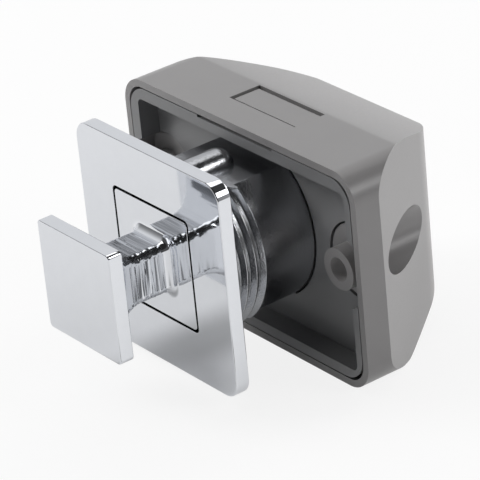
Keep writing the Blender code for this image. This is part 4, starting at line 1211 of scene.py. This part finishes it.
def camera_place():
    """Where the camera stands and how it is turned, from the angles of the view."""
    azimuth, elevation = CAMERA_AZIMUTH, CAMERA_ELEVATION
    back = Vector(
        (
            math.sin(azimuth) * math.cos(elevation),
            -math.cos(azimuth) * math.cos(elevation),
            math.sin(elevation),
        )
    )
    right = Vector((math.cos(azimuth), math.sin(azimuth), 0.0))
    up = back.cross(right)
    cos_roll, sin_roll = math.cos(CAMERA_ROLL), math.sin(CAMERA_ROLL)
    right, up = cos_roll * right + sin_roll * up, cos_roll * up - sin_roll * right
    x, y, z = CAMERA_SHIFT
    place = Vector((0.0, ROSETTE_BOX[0].y, 0.0)) - x * right - y * up + z * back
    turn = Matrix((right, up, back)).transposed().to_4x4()
    return Matrix.Translation(place) @ turn


# How white the floor is to the camera and in the chrome, and how much whiter painted light makes it in the
# chrome at the right
FLOOR_GLOW_SEEN = 0.85
FLOOR_GLOW_MIRRORED = 0.22
FLOOR_PAINTED_GLOW_RIGHT = 0.44
FLOOR_PAINTED_GLOW_X = (0.004, 0.028)
FLOOR_PAINTED_GLOW_Y = (-0.032, -0.022)
FLOOR_ROUGHNESS = 0.8
FLOOR_SHEEN = 0.1
WHITE = (1.0, 1.0, 1.0, 1.0)

# Painted shadows on the floor, which only the chrome mirrors: middle, stretch, edge from and to, depth
PAINTED_SHADOW_BELOW_KNOB = ((-0.0045, -0.030, 0.0), (1.0, 0.4, 0.0), (0.002, 0.012), 0.45)
PAINTED_SHADOW_BESIDE_KNOB = ((0.034, -0.034, 0.0), (1.0, 1.0, 0.0), (0.001, 0.0115), 0.8)


def painted_soft_shadow(tree, place, middle, stretch, edge, depth):
    """How dark a round painted shadow is at a place."""
    links = {0: place, 1: middle}
    away = node(tree, "ShaderNodeVectorMath", links, operation="SUBTRACT").outputs["Vector"]
    links = {0: away, 1: stretch}
    stretched = node(tree, "ShaderNodeVectorMath", links, operation="MULTIPLY").outputs["Vector"]
    distance = node(tree, "ShaderNodeVectorMath", {0: stretched}, operation="LENGTH").outputs["Value"]
    links = {0: distance, 1: edge[0], 2: edge[1], 3: depth, 4: 0.0}
    return node(tree, "ShaderNodeMapRange", links, interpolation_type="SMOOTHSTEP").outputs[0]


def chrome_glow_with_painted_light(tree, place):
    """How white the floor shows in the chrome: evenly white, plus painted light that makes it whiter at the
    right.
    """
    parts = node(tree, "ShaderNodeSeparateXYZ", {0: place}).outputs
    steps = []
    for part, (low, high), most in (("X", FLOOR_PAINTED_GLOW_X, FLOOR_PAINTED_GLOW_RIGHT), ("Y", FLOOR_PAINTED_GLOW_Y, 1.0)):
        links = {0: parts[part], 1: low, 2: high, 3: 0.0, 4: most}
        stepped = node(tree, "ShaderNodeMapRange", links, interpolation_type="SMOOTHSTEP")
        steps.append(stepped.outputs[0])
    links = {0: steps[0], 1: steps[1], 2: FLOOR_GLOW_MIRRORED}
    return node(tree, "ShaderNodeMath", links, operation="MULTIPLY_ADD").outputs[0]


def floor_material(base):
    """Pale paper.

    It gives the eye a nearly white floor that keeps the latch's soft shadow. In the chrome it
    shows as lit, with painted shadows under and beside the knob, and painted light that makes it brighter at
    the right.
    """
    made, tree, shader, place = blank("pale_floor")
    shader.inputs["Base Color"].default_value = base
    shader.inputs["Roughness"].default_value = FLOOR_ROUGHNESS
    shader.inputs["Specular IOR Level"].default_value = FLOOR_SHEEN
    ray = node(tree, "ShaderNodeLightPath").outputs
    links = {0: ray["Is Camera Ray"], 1: ray["Is Transmission Ray"]}
    straight = node(tree, "ShaderNodeMath", links, operation="MAXIMUM").outputs[0]
    links = {0: straight, 1: FLOOR_GLOW_SEEN}
    seen = node(tree, "ShaderNodeMath", links, operation="MULTIPLY").outputs[0]
    # Glossy rays see the floor with painted light: a brighter patch at the right that the lamps don't make
    links = {0: ray["Is Glossy Ray"], 1: chrome_glow_with_painted_light(tree, place), 2: seen}
    glow_and_painted_light_share = node(tree, "ShaderNodeMath", links, operation="MULTIPLY_ADD").outputs[0]
    glow = node(tree, "ShaderNodeEmission", {"Color": WHITE, "Strength": 1.0})
    links = {0: glow_and_painted_light_share, 1: shader.outputs[0], 2: glow.outputs[0]}
    mixed = node(tree, "ShaderNodeMixShader", links)
    # Painted shade: two soft shadows drawn into the floor that only glossy rays see, so the chrome mirrors
    # them even when the knob is pushed in
    below = painted_soft_shadow(tree, place, *PAINTED_SHADOW_BELOW_KNOB)
    beside = painted_soft_shadow(tree, place, *PAINTED_SHADOW_BESIDE_KNOB)
    darker = node(tree, "ShaderNodeMath", {0: below, 1: beside}, operation="MAXIMUM").outputs[0]
    links = {0: ray["Is Glossy Ray"], 1: darker}
    painted_shadow_share = node(tree, "ShaderNodeMath", links, operation="MULTIPLY").outputs[0]
    dark = node(tree, "ShaderNodeEmission", {"Strength": 0.0})
    shaded = node(tree, "ShaderNodeMixShader", {0: painted_shadow_share, 1: mixed.outputs[0], 2: dark.outputs[0]})
    output = next(n for n in tree.nodes if n.type == "OUTPUT_MATERIAL")
    tree.links.new(shaded.outputs[0], output.inputs["Surface"])
    return made


WORLD_GLOW_MIRRORED = 0.02
BRIGHT_SIDE = (-0.574, 0.819, 0.0)
CEILING_TILT = (0.25, 0.0, 0.968)
STUDIO_TINT = (0.975, 0.985, 1.0, 1.0)

# The walls and the ceiling: how far towards each the light changes, from and to, and its levels there
WALL_LEVELS = (-0.25, 0.30, 0.07, 0.80)
CEILING_LEVELS = (0.52, 0.64, 1.0, 0.04)


def studio_world():
    """A pale studio, bright at the left and behind, with a dark ceiling and a dark right front.

    To the camera it is white.
    """
    world = bpy.data.worlds.new("studio")
    world.use_nodes = True
    tree = world.node_tree
    tree.nodes.clear()
    way = node(tree, "ShaderNodeTexCoord").outputs["Generated"]
    levels = []
    for towards, ranges in ((BRIGHT_SIDE, WALL_LEVELS), (CEILING_TILT, CEILING_LEVELS)):
        links = {0: way, 1: towards}
        reach = node(tree, "ShaderNodeVectorMath", links, operation="DOT_PRODUCT").outputs["Value"]
        links = {0: reach, **dict(enumerate(ranges, start=1))}
        stepped = node(tree, "ShaderNodeMapRange", links, interpolation_type="SMOOTHSTEP")
        levels.append(stepped.outputs[0])
    level = node(tree, "ShaderNodeMath", dict(enumerate(levels)), operation="MULTIPLY").outputs[0]
    studio = node(tree, "ShaderNodeBackground", {"Color": STUDIO_TINT, "Strength": level})
    white = node(tree, "ShaderNodeBackground", {"Color": WHITE, "Strength": 1.0})
    ray = node(tree, "ShaderNodeLightPath").outputs
    links = {0: ray["Is Glossy Ray"], 1: WORLD_GLOW_MIRRORED, 2: ray["Is Camera Ray"]}
    seen = node(tree, "ShaderNodeMath", links, operation="MULTIPLY_ADD").outputs[0]
    links = {0: seen, 1: ray["Is Transmission Ray"]}
    white_share = node(tree, "ShaderNodeMath", links, operation="MAXIMUM").outputs[0]
    links = {0: white_share, 1: studio.outputs[0], 2: white.outputs[0]}
    both = node(tree, "ShaderNodeMixShader", links)
    node(tree, "ShaderNodeOutputWorld", {"Surface": both.outputs[0]})
    return world


# Each lamp: its name, place, aim, width, depth, watts, and whether the chrome mirrors it
LAMPS = (
    ("softbox_overhead", (-0.25, 0.0, 0.75), (-0.25, 0.0, 0.0), 0.50, 1.00, 2.5, True),
    ("softbox_front_left", (-0.55, -0.50, 0.55), (0.0, 0.0, 0.0), 0.30, 0.30, 3.3, False),
    ("softbox_behind", (-0.05, 0.95, 0.15), (0.0, 0.0, 0.0), 0.40, 0.30, 5.0, True),
    ("softbox_right", (0.60, 0.35, 0.40), (0.0, 0.0, 0.0), 0.30, 0.30, 1.25, True),
)
FLOOR_GAP = 0.0001
FRAME_WIDTH_MM = 36.0
CLIP_END = 20.0


def lay_floor(half, base):
    level = CAD_BOX[0].z - FLOOR_GAP
    corners = along_z([(-half, -half), (half, -half), (half, half), (-half, half)], level)
    mesh = bpy.data.meshes.new("floor")
    mesh.from_pydata(corners, [], [(0, 1, 2, 3)])
    mesh.materials.append(floor_material(base))
    put("floor", mesh)


def hang_lamps():
    for name, place, aim, wide, deep, watts, in_chrome in LAMPS:
        data = bpy.data.lights.new(name, "AREA")
        data.shape = "RECTANGLE"
        data.size, data.size_y = wide, deep
        data.energy = watts
        lamp = put(name, data)
        lamp.location = place
        lamp.visible_glossy = in_chrome
        lamp.rotation_euler = (Vector(place) - Vector(aim)).to_track_quat("Z", "Y").to_euler()


def make_camera(focal):
    data = bpy.data.cameras.new("camera")
    data.sensor_width = FRAME_WIDTH_MM
    data.lens = focal
    data.clip_end = CLIP_END
    camera = put("camera", data)
    camera.matrix_world = camera_place()
    return camera


class LATCH_OT_stage(LatchOperator, bpy.types.Operator):
    """Sets the floor, the studio light and the camera."""

    bl_idname = "latch.stage"
    bl_label = "Stage"

    def execute(self, context):
        scene = context.scene
        settings = scene.latch_stage
        lay_floor(settings.floor_half, tuple(settings.floor_colour))
        scene.world = studio_world()
        hang_lamps()
        scene.camera = make_camera(settings.focal)
        scene.view_settings.view_transform = "Standard"
        return {"FINISHED"}


class LATCH_PT_panel(bpy.types.Panel):
    """Lists the latch's pieces."""

    bl_idname = "LATCH_PT_panel"
    bl_label = "Cabinet latch"
    bl_space_type = "VIEW_3D"
    bl_region_type = "UI"
    bl_category = "Latch"

    def draw(self, context):
        for operator in OPERATORS:
            self.layout.operator(operator.bl_idname)
        for group in GROUPS:
            settings = getattr(context.scene, group)
            box = self.layout.box()
            for name in settings.bl_rna.properties.keys():
                if name not in ("rna_type", "name"):
                    box.prop(settings, name)


GROUPS = {
    "latch_chrome": LatchChromeSizes,
    "latch_barrel": LatchBarrelSizes,
    "latch_case": LatchCaseSizes,
    "latch_finishes": LatchFinishes,
    "latch_stage": LatchStageSettings,
}
OPERATORS = (
    LATCH_OT_rosette,
    LATCH_OT_knob,
    LATCH_OT_barrel,
    LATCH_OT_case,
    LATCH_OT_liner,
    LATCH_OT_bolt,
    LATCH_OT_spring,
    LATCH_OT_inner_parts,
    LATCH_OT_stage,
)
CLASSES = (*GROUPS.values(), *OPERATORS, LATCH_PT_panel)


def register():
    for made in CLASSES:
        bpy.utils.register_class(made)
    for name, group in GROUPS.items():
        setattr(bpy.types.Scene, name, PointerProperty(type=group))


def unregister():
    for name in GROUPS:
        delattr(bpy.types.Scene, name)
    for made in reversed(CLASSES):
        bpy.utils.unregister_class(made)


def main():
    register()
    for operator in OPERATORS:
        area, name = operator.bl_idname.split(".")
        getattr(getattr(bpy.ops, area), name)()


if __name__ == "__main__":
    main()
